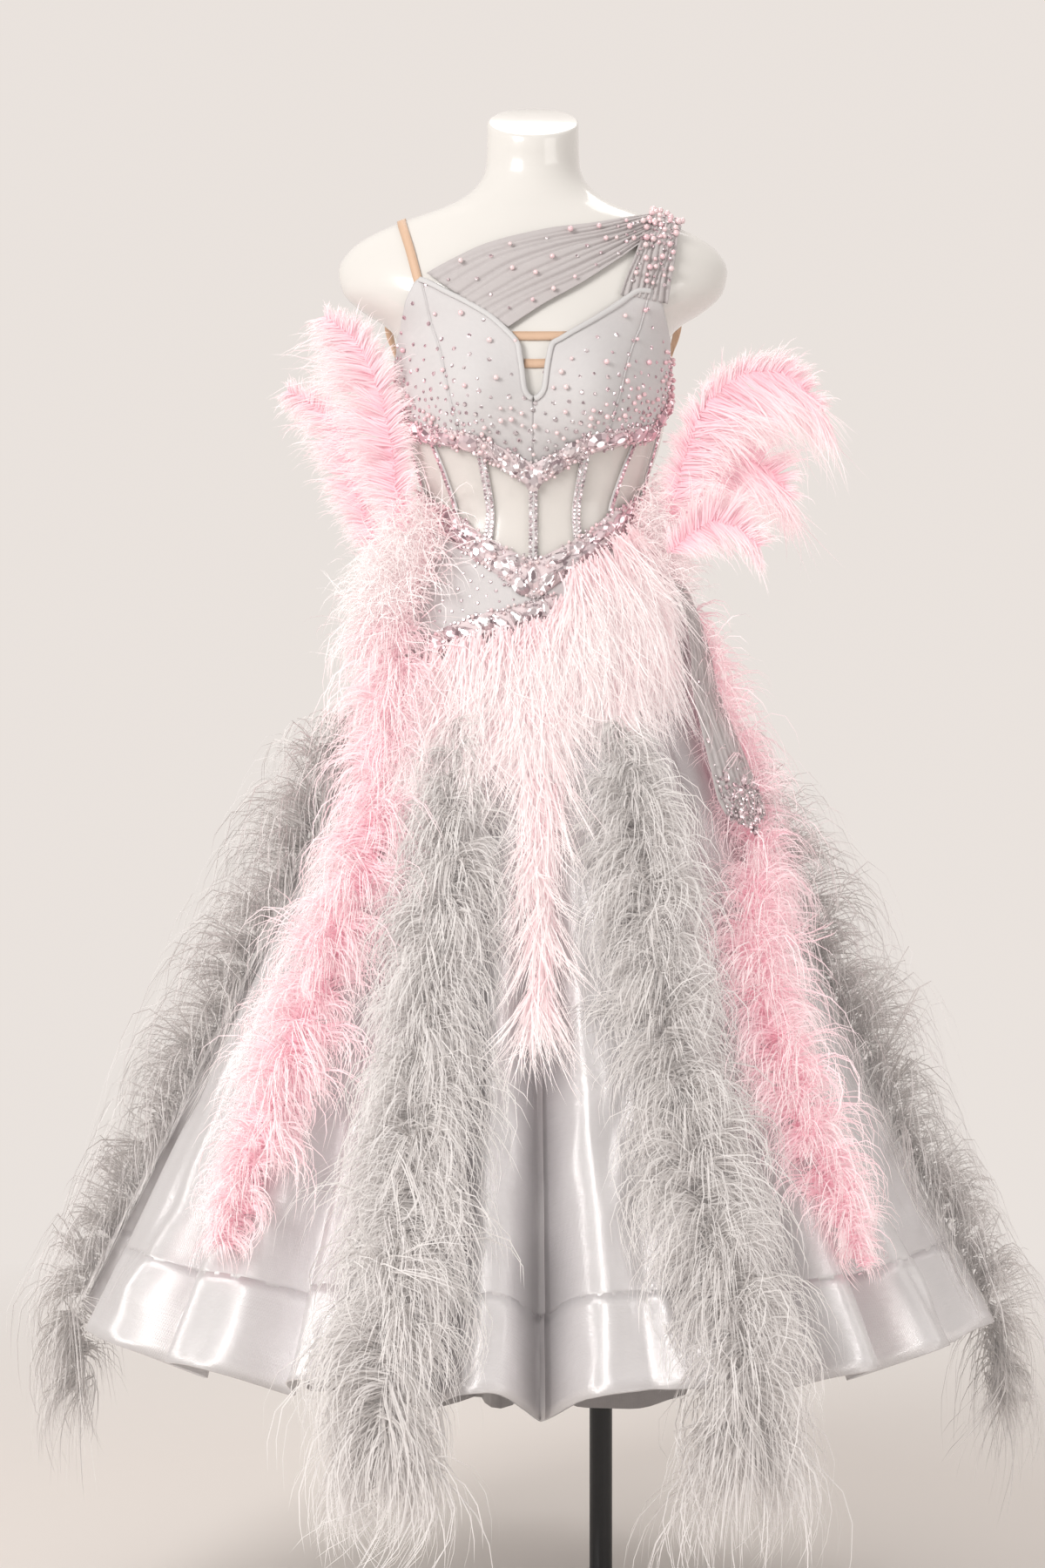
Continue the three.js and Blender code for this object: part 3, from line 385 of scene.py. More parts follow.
def weave_group():
    """Threads over and under each other: a height, and a mask of the gaps between them."""
    tree, inside, outside_node = group(
        "Weave",
        [("Cloth", "NodeSocketVector", None), ("Threads", "NodeSocketFloat", 900.0)],
        [("Height", "NodeSocketFloat"), ("Gaps", "NodeSocketFloat")],
    )
    parts = tree.nodes.new("ShaderNodeSeparateXYZ")
    link(tree, inside.outputs["Cloth"], parts.inputs[0])
    waves = []
    for axis in (0, 1):
        turns = math_node(tree, "MULTIPLY", parts.outputs[axis], inside.outputs["Threads"])
        waves.append(math_node(tree, "ABSOLUTE", math_node(tree, "SINE", turns)))
    height = math_node(tree, "MULTIPLY", waves[0], waves[1])
    link(tree, height, outside_node.inputs["Height"])
    link(tree, math_node(tree, "SUBTRACT", 1.0, height), outside_node.inputs["Gaps"])
    return tree


def mottle_group():
    """Slow and fine changes of tone over a surface."""
    tree, inside, outside_node = group(
        "Mottle",
        [
            ("Place", "NodeSocketVector", None), ("Slow", "NodeSocketFloat", 9.0),
            ("Fine", "NodeSocketFloat", 160.0), ("Light", "NodeSocketColor", (1, 1, 1, 1)),
            ("Dark", "NodeSocketColor", (0.5, 0.5, 0.5, 1)),
        ],
        [("Colour", "NodeSocketColor"), ("Height", "NodeSocketFloat")],
    )
    slow = add_node(tree, "ShaderNodeTexNoise", Detail=3.0)
    fine = add_node(tree, "ShaderNodeTexNoise", Detail=2.0)
    for noise, label in ((slow, "Slow"), (fine, "Fine")):
        link(tree, inside.outputs["Place"], noise.inputs["Vector"])
        link(tree, inside.outputs[label], noise.inputs["Scale"])
    both = math_node(tree, "MULTIPLY", math_node(tree, "ADD", slow.outputs[0], fine.outputs[0]), 0.5)
    colour = colour_mix(tree, both, inside.outputs["Light"], inside.outputs["Dark"])
    link(tree, colour, outside_node.inputs["Colour"])
    link(tree, fine.outputs[0], outside_node.inputs["Height"])
    return tree


WEAVE = weave_group()
MOTTLE = mottle_group()


def new_material(name, **settings):
    """A material with its Principled shader's plain values set, and its tree."""
    material = bpy.data.materials.new(name)
    material.use_nodes = True
    tree = material.node_tree
    shader = tree.nodes["Principled BSDF"]
    for label, value in settings.items():
        shader.inputs[label.replace("_", " ")].default_value = value
    return material, tree, shader


def use_group(tree, source, **values):
    return add_node(tree, "ShaderNodeGroup", node_tree=source, **values)


def bump(tree, shader, height, strength, distance):
    node = add_node(tree, "ShaderNodeBump", Strength=strength, Distance=distance)
    link(tree, height, node.inputs["Height"])
    link(tree, node.outputs[0], shader.inputs["Normal"])


def woven(
    name, light, dark, threads, depth, slow=9.0, stretch=(1, 1, 1), relief=0.0006, ripple=0.0, **settings,
):
    """A cloth: woven threads on its own UV map, slow changes of tone, and soft ripples."""
    material, tree, shader = new_material(name, **settings)
    uv = add_node(tree, "ShaderNodeUVMap", uv_map="cloth")
    weave = use_group(tree, WEAVE, Threads=threads)
    link(tree, uv.outputs[0], weave.inputs["Cloth"])
    place = add_node(tree, "ShaderNodeMapping", Scale=stretch)
    link(tree, uv.outputs[0], place.inputs["Vector"])
    tone = use_group(tree, MOTTLE, Slow=slow, Light=light + (1,), Dark=dark + (1,))
    link(tree, place.outputs[0], tone.inputs["Place"])
    shaded = colour_mix(
        tree, math_node(tree, "MULTIPLY", weave.outputs["Gaps"], 0.18), tone.outputs["Colour"], dark + (1,),
    )
    link(tree, shaded, shader.inputs["Base Color"])
    height = math_node(
        tree, "ADD", weave.outputs["Height"], math_node(tree, "MULTIPLY", tone.outputs["Height"], 1.5),
    )
    if ripple:
        waves = add_node(tree, "ShaderNodeTexNoise", Scale=15.0, Detail=1.0)
        link(tree, uv.outputs[0], waves.inputs["Vector"])
        height = math_node(tree, "ADD", height, math_node(tree, "MULTIPLY", waves.outputs[0], ripple))
    bump(tree, shader, height, depth, relief)
    return material


def feather(name, root, middle, tip, painted_glow):
    """Ostrich barbs: deep at the root and pale at the tip, each lock a little different, and giving off
    painted light in their own colour that stands in for light shining through them.
    """
    material, tree, shader = new_material(
        name, Roughness=0.7, Sheen_Weight=0.25, Sheen_Roughness=0.4, Specular_IOR_Level=0.25,
        Emission_Strength=painted_glow,
    )
    along = add_node(tree, "ShaderNodeAttribute", attribute_name="along")
    lock = add_node(tree, "ShaderNodeAttribute", attribute_name="lock")
    ramp = tree.nodes.new("ShaderNodeValToRGB")
    ramp.color_ramp.elements[0].color = root + (1,)
    ramp.color_ramp.elements[1].color = tip + (1,)
    ramp.color_ramp.elements.new(0.45).color = middle + (1,)
    link(tree, along.outputs["Fac"], ramp.inputs[0])
    paler = colour_mix(
        tree, math_node(tree, "MULTIPLY", lock.outputs["Fac"], 0.45), ramp.outputs[0], tip + (1,),
    )
    link(tree, paler, shader.inputs["Base Color"])
    # Painted light: the barbs give off their own colour, standing in for light that shines through them.
    link(tree, paler, shader.inputs["Emission Color"])
    return material


def stone_material(name, clear, rose, roughness, metallic, coat, painted_glint_share):
    """Foiled stones: each facet darkened by its own amount as painted shade and reflection, a few facets
    lit white as painted glints, and each stone with its tint.
    """
    material, tree, shader = new_material(
        name, Roughness=roughness, Metallic=metallic, Coat_Weight=coat, Emission_Strength=0.6,
    )
    facet = add_node(tree, "ShaderNodeAttribute", attribute_name="facet")
    tint = add_node(tree, "ShaderNodeAttribute", attribute_name="tint")
    colour = colour_mix(tree, tint.outputs["Fac"], clear + (1,), rose + (1,))
    # Painted shade and reflection: each facet is mixed towards a dark colour by its own amount.
    shaded = colour_mix(tree, facet.outputs["Fac"], colour, (0.21, 0.15, 0.17, 1))
    link(tree, shaded, shader.inputs["Base Color"])
    # Painted glints: facets below the share give off white light, standing in for highlights.
    painted_glint_mask = math_node(tree, "LESS_THAN", facet.outputs["Fac"], painted_glint_share)
    link(tree, colour_mix(tree, painted_glint_mask, (0, 0, 0, 1), (1, 0.95, 0.95, 1)), shader.inputs["Emission Color"])
    return material


MATERIALS = {
    "satin": woven(
        "silver_satin", (0.93, 0.91, 0.92), (0.83, 0.81, 0.82), 3200, 0.4, slow=5.0, stretch=(0.3, 3.2, 1),
        relief=0.0008, ripple=16.0, Roughness=0.25, Metallic=0.55, Anisotropic=0.5,
    ),
    "crepe": woven(
        "silver_crepe", (0.72, 0.70, 0.70), (0.63, 0.61, 0.615), 2600, 0.25, Roughness=0.75,
        Sheen_Weight=0.2,
    ),
    "piping": woven(
        "crepe_piping", (0.70, 0.69, 0.69), (0.62, 0.61, 0.61), 2600, 0.2, Roughness=0.6, Sheen_Weight=0.1,
    ),
    "chiffon": woven(
        "mauve_chiffon", (0.61, 0.57, 0.565), (0.50, 0.465, 0.465), 2400, 0.2, slow=16, Roughness=0.7,
        Sheen_Weight=0.3,
    ),
    "elastic": woven("nude_elastic", (0.80, 0.56, 0.40), (0.66, 0.44, 0.30), 1800, 0.3, Roughness=0.55),
    "organza": woven(
        "grey_organza", (0.44, 0.42, 0.42), (0.32, 0.30, 0.305), 1500, 0.2, Roughness=0.45,
        Sheen_Weight=0.3,
    ),
    "ground": woven("stone_ground", (0.86, 0.76, 0.77), (0.72, 0.60, 0.62), 1500, 0.3, Roughness=0.5),
    # The last value of each feather is the strength of its painted light, given off in its own colour.
    "pink": feather("pink_ostrich", (0.97, 0.56, 0.65), (0.99, 0.74, 0.79), (1.0, 0.90, 0.90), 0.10),
    "blush": feather("blush_ostrich", (0.97, 0.73, 0.76), (0.99, 0.875, 0.88), (1.0, 0.955, 0.95), 0.09),
    "grey": feather("grey_ostrich", (0.58, 0.55, 0.535), (0.675, 0.645, 0.63), (0.86, 0.83, 0.82), 0.07),
    # The last value of each is the share of facets lit white as painted glints; the pearls have none.
    "stones": stone_material(
        "foiled_stones", (0.97, 0.915, 0.92), (0.98, 0.58, 0.67), 0.20, 0.45, 0.3, 0.035,
    ),
    "pearls": stone_material("rose_pearls", (0.96, 0.80, 0.80), (0.97, 0.62, 0.68), 0.28, 0.15, 0.6, -1.0),
}


def sheer_mesh():
    """Ivory stretch mesh: the form shows through between its fine threads."""
    material, tree, shader = new_material("sheer_mesh", Roughness=0.5, Sheen_Weight=0.2)
    uv = add_node(tree, "ShaderNodeUVMap", uv_map="cloth")
    weave = use_group(tree, WEAVE, Threads=2600.0)
    link(tree, uv.outputs[0], weave.inputs["Cloth"])
    tone = use_group(tree, MOTTLE, Slow=6.0, Light=(0.94, 0.90, 0.87, 1), Dark=(0.87, 0.82, 0.79, 1))
    link(tree, uv.outputs[0], tone.inputs["Place"])
    link(tree, tone.outputs["Colour"], shader.inputs["Base Color"])
    cover = math_node(tree, "ADD", math_node(tree, "MULTIPLY", weave.outputs["Height"], 0.3), 0.20)
    link(tree, cover, shader.inputs["Alpha"])
    return material


def mottled(name, light, dark, slow, fine, relief=None, **settings):
    """A hard finish with changes of tone, and an unevenness where it is given one."""
    material, tree, shader = new_material(name, **settings)
    place = tree.nodes.new("ShaderNodeTexCoord")
    tone = use_group(tree, MOTTLE, Slow=slow, Fine=fine, Light=light + (1,), Dark=dark + (1,))
    link(tree, place.outputs["Object"], tone.inputs["Place"])
    link(tree, tone.outputs["Colour"], shader.inputs["Base Color"])
    if relief:
        bump(tree, shader, tone.outputs["Height"], *relief)
    return material


MATERIALS["mesh"] = sheer_mesh()
MATERIALS["form"] = mottled(
    "white_lacquer", (0.83, 0.81, 0.775), (0.78, 0.755, 0.72), 4.0, 30.0, (0.04, 0.002), Roughness=0.2,
    Coat_Weight=0.6,
)
MATERIALS["pole"] = mottled(
    "black_paint", (0.018, 0.018, 0.019), (0.008, 0.008, 0.009), 14.0, 220.0, (0.08, 0.0005),
    Roughness=0.38,
    Metallic=0.0,
)
MATERIALS["base"] = mottled(
    "brushed_steel", (0.62, 0.63, 0.65), (0.50, 0.51, 0.53), 14.0, 220.0, (0.08, 0.0005), Roughness=0.32,
    Metallic=1.0,
)
MATERIALS["quill"] = mottled("quill", (0.94, 0.66, 0.70), (0.85, 0.45, 0.53), 30.0, 200.0, Roughness=0.4)


# ------------------------------------------------------------------ making pieces

def placed(name, data):
    """An object put in the scene."""
    thing = bpy.data.objects.new(name, data)
    bpy.context.collection.objects.link(thing)
    return thing


def mesh_from(form, name):
    mesh = bpy.data.meshes.new(name)
    form.to_mesh(mesh)
    form.free()
    return mesh


def finish_piece(mesh, name, material, nodes=(), smooth=True):
    """Puts a finished mesh in the scene, riding on the one body and standing for its nodes."""
    piece = placed(name, mesh)
    mesh.materials.append(MATERIALS[material])
    mesh.polygons.foreach_set("use_smooth", np.full(len(mesh.polygons), smooth))
    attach(piece, "root")
    if nodes:
        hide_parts(*nodes)
    return piece


def cloth(name, place, columns, rows, material, slot, nodes=(), wall=0.0012, wrap=False, size=(0.3, 0.3)):
    """A sheet of cloth from place(u, v), as a grid that is given its wall inwards."""
    form = bmesh.new()
    bmesh.ops.create_grid(form, x_segments=columns, y_segments=rows, size=0.5)
    spots = np.array([vert.co[:2] for vert in form.verts]) + 0.5
    uv = form.loops.layers.uv.new("cloth")
    for face in form.faces:
        for loop in face.loops:
            loop[uv].uv = ((loop.vert.co.x + 0.5) * size[0], (loop.vert.co.y + 0.5) * size[1])
    for vert, point in zip(form.verts, place(spots[:, 0], spots[:, 1])):
        vert.co = point
    if wrap:
        bmesh.ops.remove_doubles(form, verts=form.verts, dist=1e-5)
    mesh = mesh_from(form, name)
    piece = finish_piece(mesh, name, material, nodes)
    if wall:
        solidify = piece.modifiers.new("wall", "SOLIDIFY")
        solidify.thickness = wall
        solidify.offset = -1
    return piece


def joined(name, vertices, faces, attributes):
    """One mesh from arrays: many copies of one small shape, with their own attributes."""
    mesh = bpy.data.meshes.new(name)
    corners = faces.shape[1]
    mesh.vertices.add(len(vertices))
    mesh.vertices.foreach_set("co", vertices.astype(np.float32).ravel())
    mesh.loops.add(faces.size)
    mesh.loops.foreach_set("vertex_index", faces.astype(np.int32).ravel())
    mesh.polygons.add(len(faces))
    mesh.polygons.foreach_set("loop_start", np.arange(0, faces.size, corners, dtype=np.int32))
    for label, (domain, values) in attributes.items():
        layer = mesh.attributes.new(label, "FLOAT", domain)
        layer.data.foreach_set("value", values.astype(np.float32).ravel())
    mesh.update(calc_edges=True)
    return mesh


# ------------------------------------------------------------------ dress form and stand

def make_form():
    """The torso as one smooth shell, closed below and across the slanted neck."""
    def place(u, v):
        z = mix(FORM[0, 0], FORM_TOP, v)
        points = skin(u * 360, z, whole=True)
        lean = np.clip((z - NECK_CUT["from"]) / (FORM_TOP - NECK_CUT["from"]), 0, 1)
        lean = lean * lean * (3 - 2 * lean)
        points[:, 2] += lean * NECK_CUT["slope"] * (points[:, 1] - read(FORM, z, MID))
        return points

    piece = cloth("torso", place, 88, 96, "form", "form", ["form"], wall=0, wrap=True)
    form = bmesh.new()
    form.from_mesh(piece.data)
    bmesh.ops.holes_fill(form, edges=[edge for edge in form.edges if edge.is_boundary], sides=0)
    rims = [edge for edge in form.edges if any(len(face.verts) > 4 for face in edge.link_faces)]
    bmesh.ops.bevel(form, geom=rims, offset=0.003, segments=3, affect="EDGES", profile=0.5, material=-1)
    bmesh.ops.recalc_face_normals(form, faces=form.faces)
    form.to_mesh(piece.data)
    form.free()
    piece.data.polygons.foreach_set("use_smooth", np.ones(len(piece.data.polygons), bool))
    piece.data.update()


def make_stand():
    for name, material in (("stand_pole", "pole"), ("stand_base", "base"), ("stand_flange", "base")):
        bpy.data.objects[name].data.materials.clear()
        bpy.data.objects[name].data.materials.append(MATERIALS[material])


# ------------------------------------------------------------------ bodice

def patch(foot, top, start, end):
    """A patch stretched between four edges of (angle, height), each a function from 0 to 1."""
    def blend(u, v):
        corner = [
            foot(np.zeros_like(u)), foot(np.ones_like(u)), top(np.zeros_like(u)), top(np.ones_like(u)),
        ]
        u, v = u[:, None], v[:, None]
        flat = mix(mix(corner[0], corner[1], u), mix(corner[2], corner[3], u), v)
        return mix(foot(u[:, 0]), top(u[:, 0]), v) + mix(start(v[:, 0]), end(v[:, 0]), u) - flat
    return blend


def stacked(at, z):
    at, z = np.broadcast_arrays(at, z)
    return np.stack([at, z], -1)


def bodice_points(points):
    points = np.array(points)
    return stacked(bodice_angle(points[:, 0], points[:, 1]), points[:, 1])


def cup_patches(side):
    """The two panels of one half's cup, as functions that give (angle, height)."""
    sign = -1 if side == "left" else 1
    armhole = route(np.vstack([[(sign * 90, SIDE_TOP)], bodice_points(ARMHOLE[side])]))
    neckline = smooth_route(bodice_points(NECKLINE[side]))
    tip = bodice_points(NECKLINE[side])[0]
    keyhole = bodice_points(KEYHOLE[side])[::-1]
    inner = route(np.vstack([[(0, underbust(0)), (0, 1.318)], keyhole]))

    def foot(start, end):
        return lambda u: stacked(mix(start, end, u) * sign, underbust(mix(start, end, u)))

    def princess(v):
        lean = 3.0 * sign * np.sin(np.pi * v)
        return stacked(
            mix(PRINCESS_FOOT * sign, tip[0], v) - lean, mix(underbust(PRINCESS_FOOT), tip[1], v),
        )

    side_cup = patch(
        foot(90, PRINCESS_FOOT), armhole, lambda v: stacked(sign * 90, mix(underbust(90), SIDE_TOP, v)),
        princess,
    )
    centre_cup = patch(foot(PRINCESS_FOOT, 0), neckline, princess, inner)
    return {"side": side_cup, "centre": centre_cup}, princess


def make_cups():
    for side in ("left", "right"):
        patches, princess = cup_patches(side)
        for part, blend in patches.items():
            def place(u, v, blend=blend):
                where = blend(u if side == "left" else 1 - u, v)
                edge = np.minimum(np.minimum(u, 1 - u), np.minimum(v, 1 - v))
                return worn(where[:, 0], where[:, 1], CUP_OUT + 0.0005 * np.clip(edge * 14, 0, 1))
            piece = cloth(
                f"cup_{part}_cloth_{side}", place, 28, 38, "crepe", "crepe", [f"cup_{part}_{side}"],
                size=(0.11, 0.20),
            )
        seam = princess(np.linspace(0.01, 0.99, 60))
        make_cord(
            f"princess_piping_{side}", worn(seam[:, 0], seam[:, 1], 0.0054), 0.0008, "crepe",
        )


def make_cord(name, points, radius, material):
    """A round piping along a list of points, closed at both ends."""
    points = np.array(points)
    along = unit(np.gradient(points, axis=0))
    side = unit(np.cross(along, [0, -1, 0.001]))
    rise = unit(np.cross(side, along))
    turns = np.linspace(0, 2 * np.pi, 8, endpoint=False)
    ring = np.cos(turns)[:, None, None] * side + np.sin(turns)[:, None, None] * rise
    form = bmesh.new()
    loops = []
    for row in range(len(points)):
        loops.append([form.verts.new(points[row] + ring[k, row] * radius) for k in range(len(turns))])
    for low, high in zip(loops, loops[1:]):
        for k in range(len(turns)):
            form.faces.new((low[k], low[k - 1], high[k - 1], high[k]))
    form.faces.new(loops[0][::-1])
    form.faces.new(loops[-1])
    bmesh.ops.recalc_face_normals(form, faces=form.faces)
    mesh = mesh_from(form, name)
    mesh.uv_layers.new(name="cloth")
    finish_piece(mesh, name, material)


def strip(name, centres, normals, widths, wall, material, slot, nodes, crown=0.0, columns=2, rows=60):
    """A ribbon along a route, domed across its width."""
    centres, normals = np.array(centres), unit(np.array(normals))
    along = unit(np.gradient(centres, axis=0))
    side = unit(np.cross(along, normals))
    shares = np.linspace(0, 1, len(centres))

    def place(u, v):
        def at(table):
            return np.stack([np.interp(v, shares, axis) for axis in table.T], -1)
        across = (u - 0.5)[:, None] * np.interp(v, np.linspace(0, 1, len(widths)), widths)[:, None]
        return at(centres) + at(side) * across + at(normals) * (crown * (1 - (2 * u - 1) ** 2))[:, None]

    length = float(np.linalg.norm(np.diff(centres, axis=0), axis=1).sum())
    width = float(np.mean(widths))
    piece = cloth(name, place, columns, rows, material, slot, nodes, wall=wall, size=(width, length))
    return piece, (width, length)


def make_bindings():
    """Flat piping round each half's neckline and keyhole."""
    for side in ("left", "right"):
        edge = np.vstack([NECKLINE[side], KEYHOLE[side][1:]])
        line = smooth_route(edge)(np.linspace(0, 1, 90))
        tangent = unit(np.gradient(line, axis=0))
        inward = np.stack([tangent[:, 1], -tangent[:, 0]], -1) * (1 if side == "left" else -1)
        middle = line + inward * 0.0034
        centres = worn(bodice_angle(middle[:, 0], middle[:, 1]), middle[:, 1], 0.0072)
        lower = worn(bodice_angle(middle[:, 0], middle[:, 1]), middle[:, 1], 0.0)
        piece, size = strip(
            f"neck_binding_{side}", centres, centres - lower, [0.0060], 0.0016, "piping", "crepe",
            [f"binding_{side}"], crown=0.0012, columns=6, rows=110,
        )


def panel(
    name, start, end, low, high, out, columns, rows, material, slot, nodes, wall=0.0012, crease=None,
):
    """A panel of the bodice between two angles and two lines round the body."""
    def place(u, v):
        at = mix(start, end, u)
        z = mix(low(at), high(at), v)
        lift = out if crease is None else out + crease(at, z)
        return worn(at, z, lift)
    width = 2 * np.pi * FORM_RADIUS * (end - start) / 360
    tall = float(np.mean(high(np.array([start, end])) - low(np.array([start, end]))))
    return cloth(name, place, columns, rows, material, slot, nodes, wall=wall, size=(width, abs(tall)))


def make_bodice():
    make_cups()
    make_bindings()
    back = panel(
        "back_band", 90, 270, underbust, lambda at: np.full_like(at, SIDE_TOP), CREPE_OUT, 60, 8, "crepe",
        "crepe", ["bodice_back"],
    )
    # Angle, depth and width of the long soft pulls between the bones, uneven as stretched mesh lies.
    pulls = np.array([(-83, 0.0006, 2.2), (-60, 0.0010, 3.0), (-36, 0.0008, 2.4), (-12, 0.0006, 3.4),
                      (9, 0.0008, 2.6), (38, 0.0012, 3.2), (64, 0.0009, 2.4), (82, 0.0006, 2.0)])

    def crease(at, z):
        return sum(deep * hump(at - where - 120 * (z - 1.24), wide) for where, deep, wide in pulls)

    front = panel(
        "sheer_midriff_front", -90, 90, beltline, underbust, SHEER_OUT, 90, 24, "mesh", "mesh",
        ["midriff_front"], wall=0, crease=crease,
    )
    rear = panel(
        "sheer_midriff_back", 90, 270, beltline, underbust, SHEER_OUT, 70, 16, "mesh", "mesh",
        ["midriff_back"], wall=0,
    )
    for name, start, end in (("front", -90, 90), ("back", 90, 270)):
        yoke = panel(
            f"hip_yoke_{name}", start, end, lambda at: np.full_like(at, SKIRT_TOP), beltline, CREPE_OUT,
            60, 22, "crepe", "crepe", [f"yoke_{name}"],
        )
    for bar, start, end, z in (("upper", -0.022, 0.035, 1.397), ("lower", -0.010, 0.014, 1.367)):
        def place(u, v, start=start, end=end, z=z):
            return worn(
                bodice_angle(mix(start, end, u), np.full_like(u, z)), z + (v - 0.5) * ELASTIC_WIDTH, 0.0022,
            )
        piece = cloth(
            f"keyhole_elastic_{bar}", place, 10, 2, "elastic", "elastic", [f"keyhole_bar_{bar}"],
            wall=0.001, size=(0.055, ELASTIC_WIDTH),
        )


def make_boning():
    """Casings that carry the rows of stones up the sheer midriff."""
    for name, (top, foot) in BONING.items():
        share = np.linspace(0, 1, 24)
        at = mix(foot, top, share)
        z = mix(belt_foot(at) + 0.03, underbust(at), share)
        centres = worn(at, z, CREPE_OUT)
        wide = 0.0095 if abs(top) < 30 else 0.0070
        piece, size = strip(
            f"bone_casing_{name}", centres, centres - worn(at, z, 0), [wide], 0.0012, "crepe", "crystal",
            [f"boning_{name}"], crown=0.0006, columns=4, rows=24,
        )


def make_straps():
    """Nude elastic over the left shoulder and down the back, free of the form below the arm caps."""
    routes = {
        "left": [
            (-0.119, -0.06, 1.455), (-0.133, -0.042, 1.503), (-0.141, -0.01, 1.531),
            (-0.143, 0.022, 1.540), (-0.144, 0.052, 1.530), (-0.148, 0.084, 1.490), (-0.161, 0.068, 1.437),
            (-0.147, 0.040, 1.384),
        ],
        "right": [
            (0.145, 0.070, 1.510), (0.148, 0.084, 1.490), (0.162, 0.068, 1.440), (0.148, 0.040, 1.384),
        ],
    }
    for side, points in routes.items():
        points = np.array(points)
        curve = smooth_route(np.where(points[:, 2:] > 1.495, laid(points), points))(np.linspace(0, 1, 60))
        base, raised = laid(curve), laid(curve, 0.0024)
        share = np.clip((curve[:, 2:] - 1.485) / 0.03, 0, 1)
        share[:20] = 1 if side == "left" else share[:20]
        piece, size = strip(
            f"elastic_strap_{side}", mix(curve, raised, share), raised - base, [ELASTIC_WIDTH], 0.001,
            "elastic", "elastic", [f"strap_{side}"], columns=2, rows=70,
        )


def make_drapes():
    """Pleated chiffon across the chest and down from the shoulder, gathered into the knot."""
    sheets = {
        "chest": (
            [
                (-0.112, 1.468), (-0.076, 1.487), (-0.041, 1.502), (0.016, 1.5165), (0.060, 1.523),
                (0.095, 1.530), (0.128, 1.538),
            ],
            [
                (-0.026, 1.405), (0.010, 1.430), (0.056, 1.4585), (0.092, 1.484), (0.112, 1.500),
                (0.128, 1.512),
            ],
            (0.27, 0.16), (44, 90),
        ),
        "shoulder": (
            [(0.1545, 1.520), (0.152, 1.495), (0.147, 1.470), (0.141, 1.440)],
            [(0.116, 1.516), (0.110, 1.495), (0.101, 1.470), (0.091, 1.444)],
            (0.08, 0.10), (24, 64),
        ),
    }
    # Share across the width, depth and softness of each pleat, uneven as they were pinned.
    pleats = {
        "chest": [
            (0.10, 1.0, 0.020), (0.17, 0.6, 0.014), (0.27, 1.3, 0.022), (0.36, 0.8, 0.016),
            (0.44, 1.1, 0.020), (0.55, 0.7, 0.015), (0.62, 1.4, 0.022), (0.74, 0.9, 0.018),
            (0.84, 1.2, 0.020), (0.92, 0.6, 0.014),
        ],
        "shoulder": [
            (0.08, 1.0, 0.028), (0.19, 1.3, 0.030), (0.31, 0.9, 0.026), (0.42, 1.4, 0.030),
            (0.55, 1.0, 0.028), (0.67, 1.3, 0.030), (0.79, 0.9, 0.026), (0.91, 1.2, 0.030),
        ],
    }
    for name, (upper, lower, flat, grid) in sheets.items():
        high, low = smooth_route(upper), smooth_route(lower)

        def place(u, v):
            edge_high, edge_low = high(u), low(u)
            x, z = mix(edge_low[:, 0], edge_high[:, 0], v), mix(edge_low[:, 1], edge_high[:, 1], v)
            lift = 0.0062
            for where, deep, wide in pleats[name]:
                wander = 0.03 * np.sin(5 * u + 9 * where)
                lift = lift - 0.0032 * deep * hump(v - where - wander, wide) * (0.55 + 0.45 * u)
            return on_front(x, z, lift + 0.002 * np.sin(np.pi * v))
        piece = cloth(
            f"draped_{name}", place, *grid, "chiffon", "chiffon", [f"drape_{name}"], wall=0.0008,
            size=(0.25, 0.10),
        )


def make_knot():
    """The gathered knot on the right shoulder, under its pearls."""
    points = [
        (0.131, -0.046, 1.501), (0.139, -0.024, 1.524), (0.145, 0.020, 1.540), (0.146, 0.054, 1.528),
        (0.145, 0.072, 1.506),
    ]
    curve = smooth_route(laid(points))(np.linspace(0, 1, 40))
    base, lifted_line = laid(curve), laid(curve, 0.004)
    along = unit(np.gradient(base, axis=0))
    side = unit(np.cross(along, lifted_line - base))
    widths = np.interp(np.linspace(0, 1, 40), [0, 0.25, 0.5, 0.75, 1], [0.030, 0.036, 0.034, 0.024, 0.012])

    def place(u, v):
        row = np.clip(np.round(v * 39).astype(int), 0, 39)
        spots = base[row] + side[row] * ((u - 0.5) * widths[row])[:, None]
        ridges = 0.0016 * np.abs(np.sin(8 * np.pi * u + 2.2 * v))
        return laid(spots, 0.0042 + 0.0024 * (1 - (2 * u - 1) ** 2) + ridges)
    piece = cloth(
        "shoulder_gathers", place, 48, 39, "chiffon", "crystal", ["shoulder_knot"], wall=0.0012,
        size=(0.04, 0.14),
    )
    return place


# ------------------------------------------------------------------ skirt

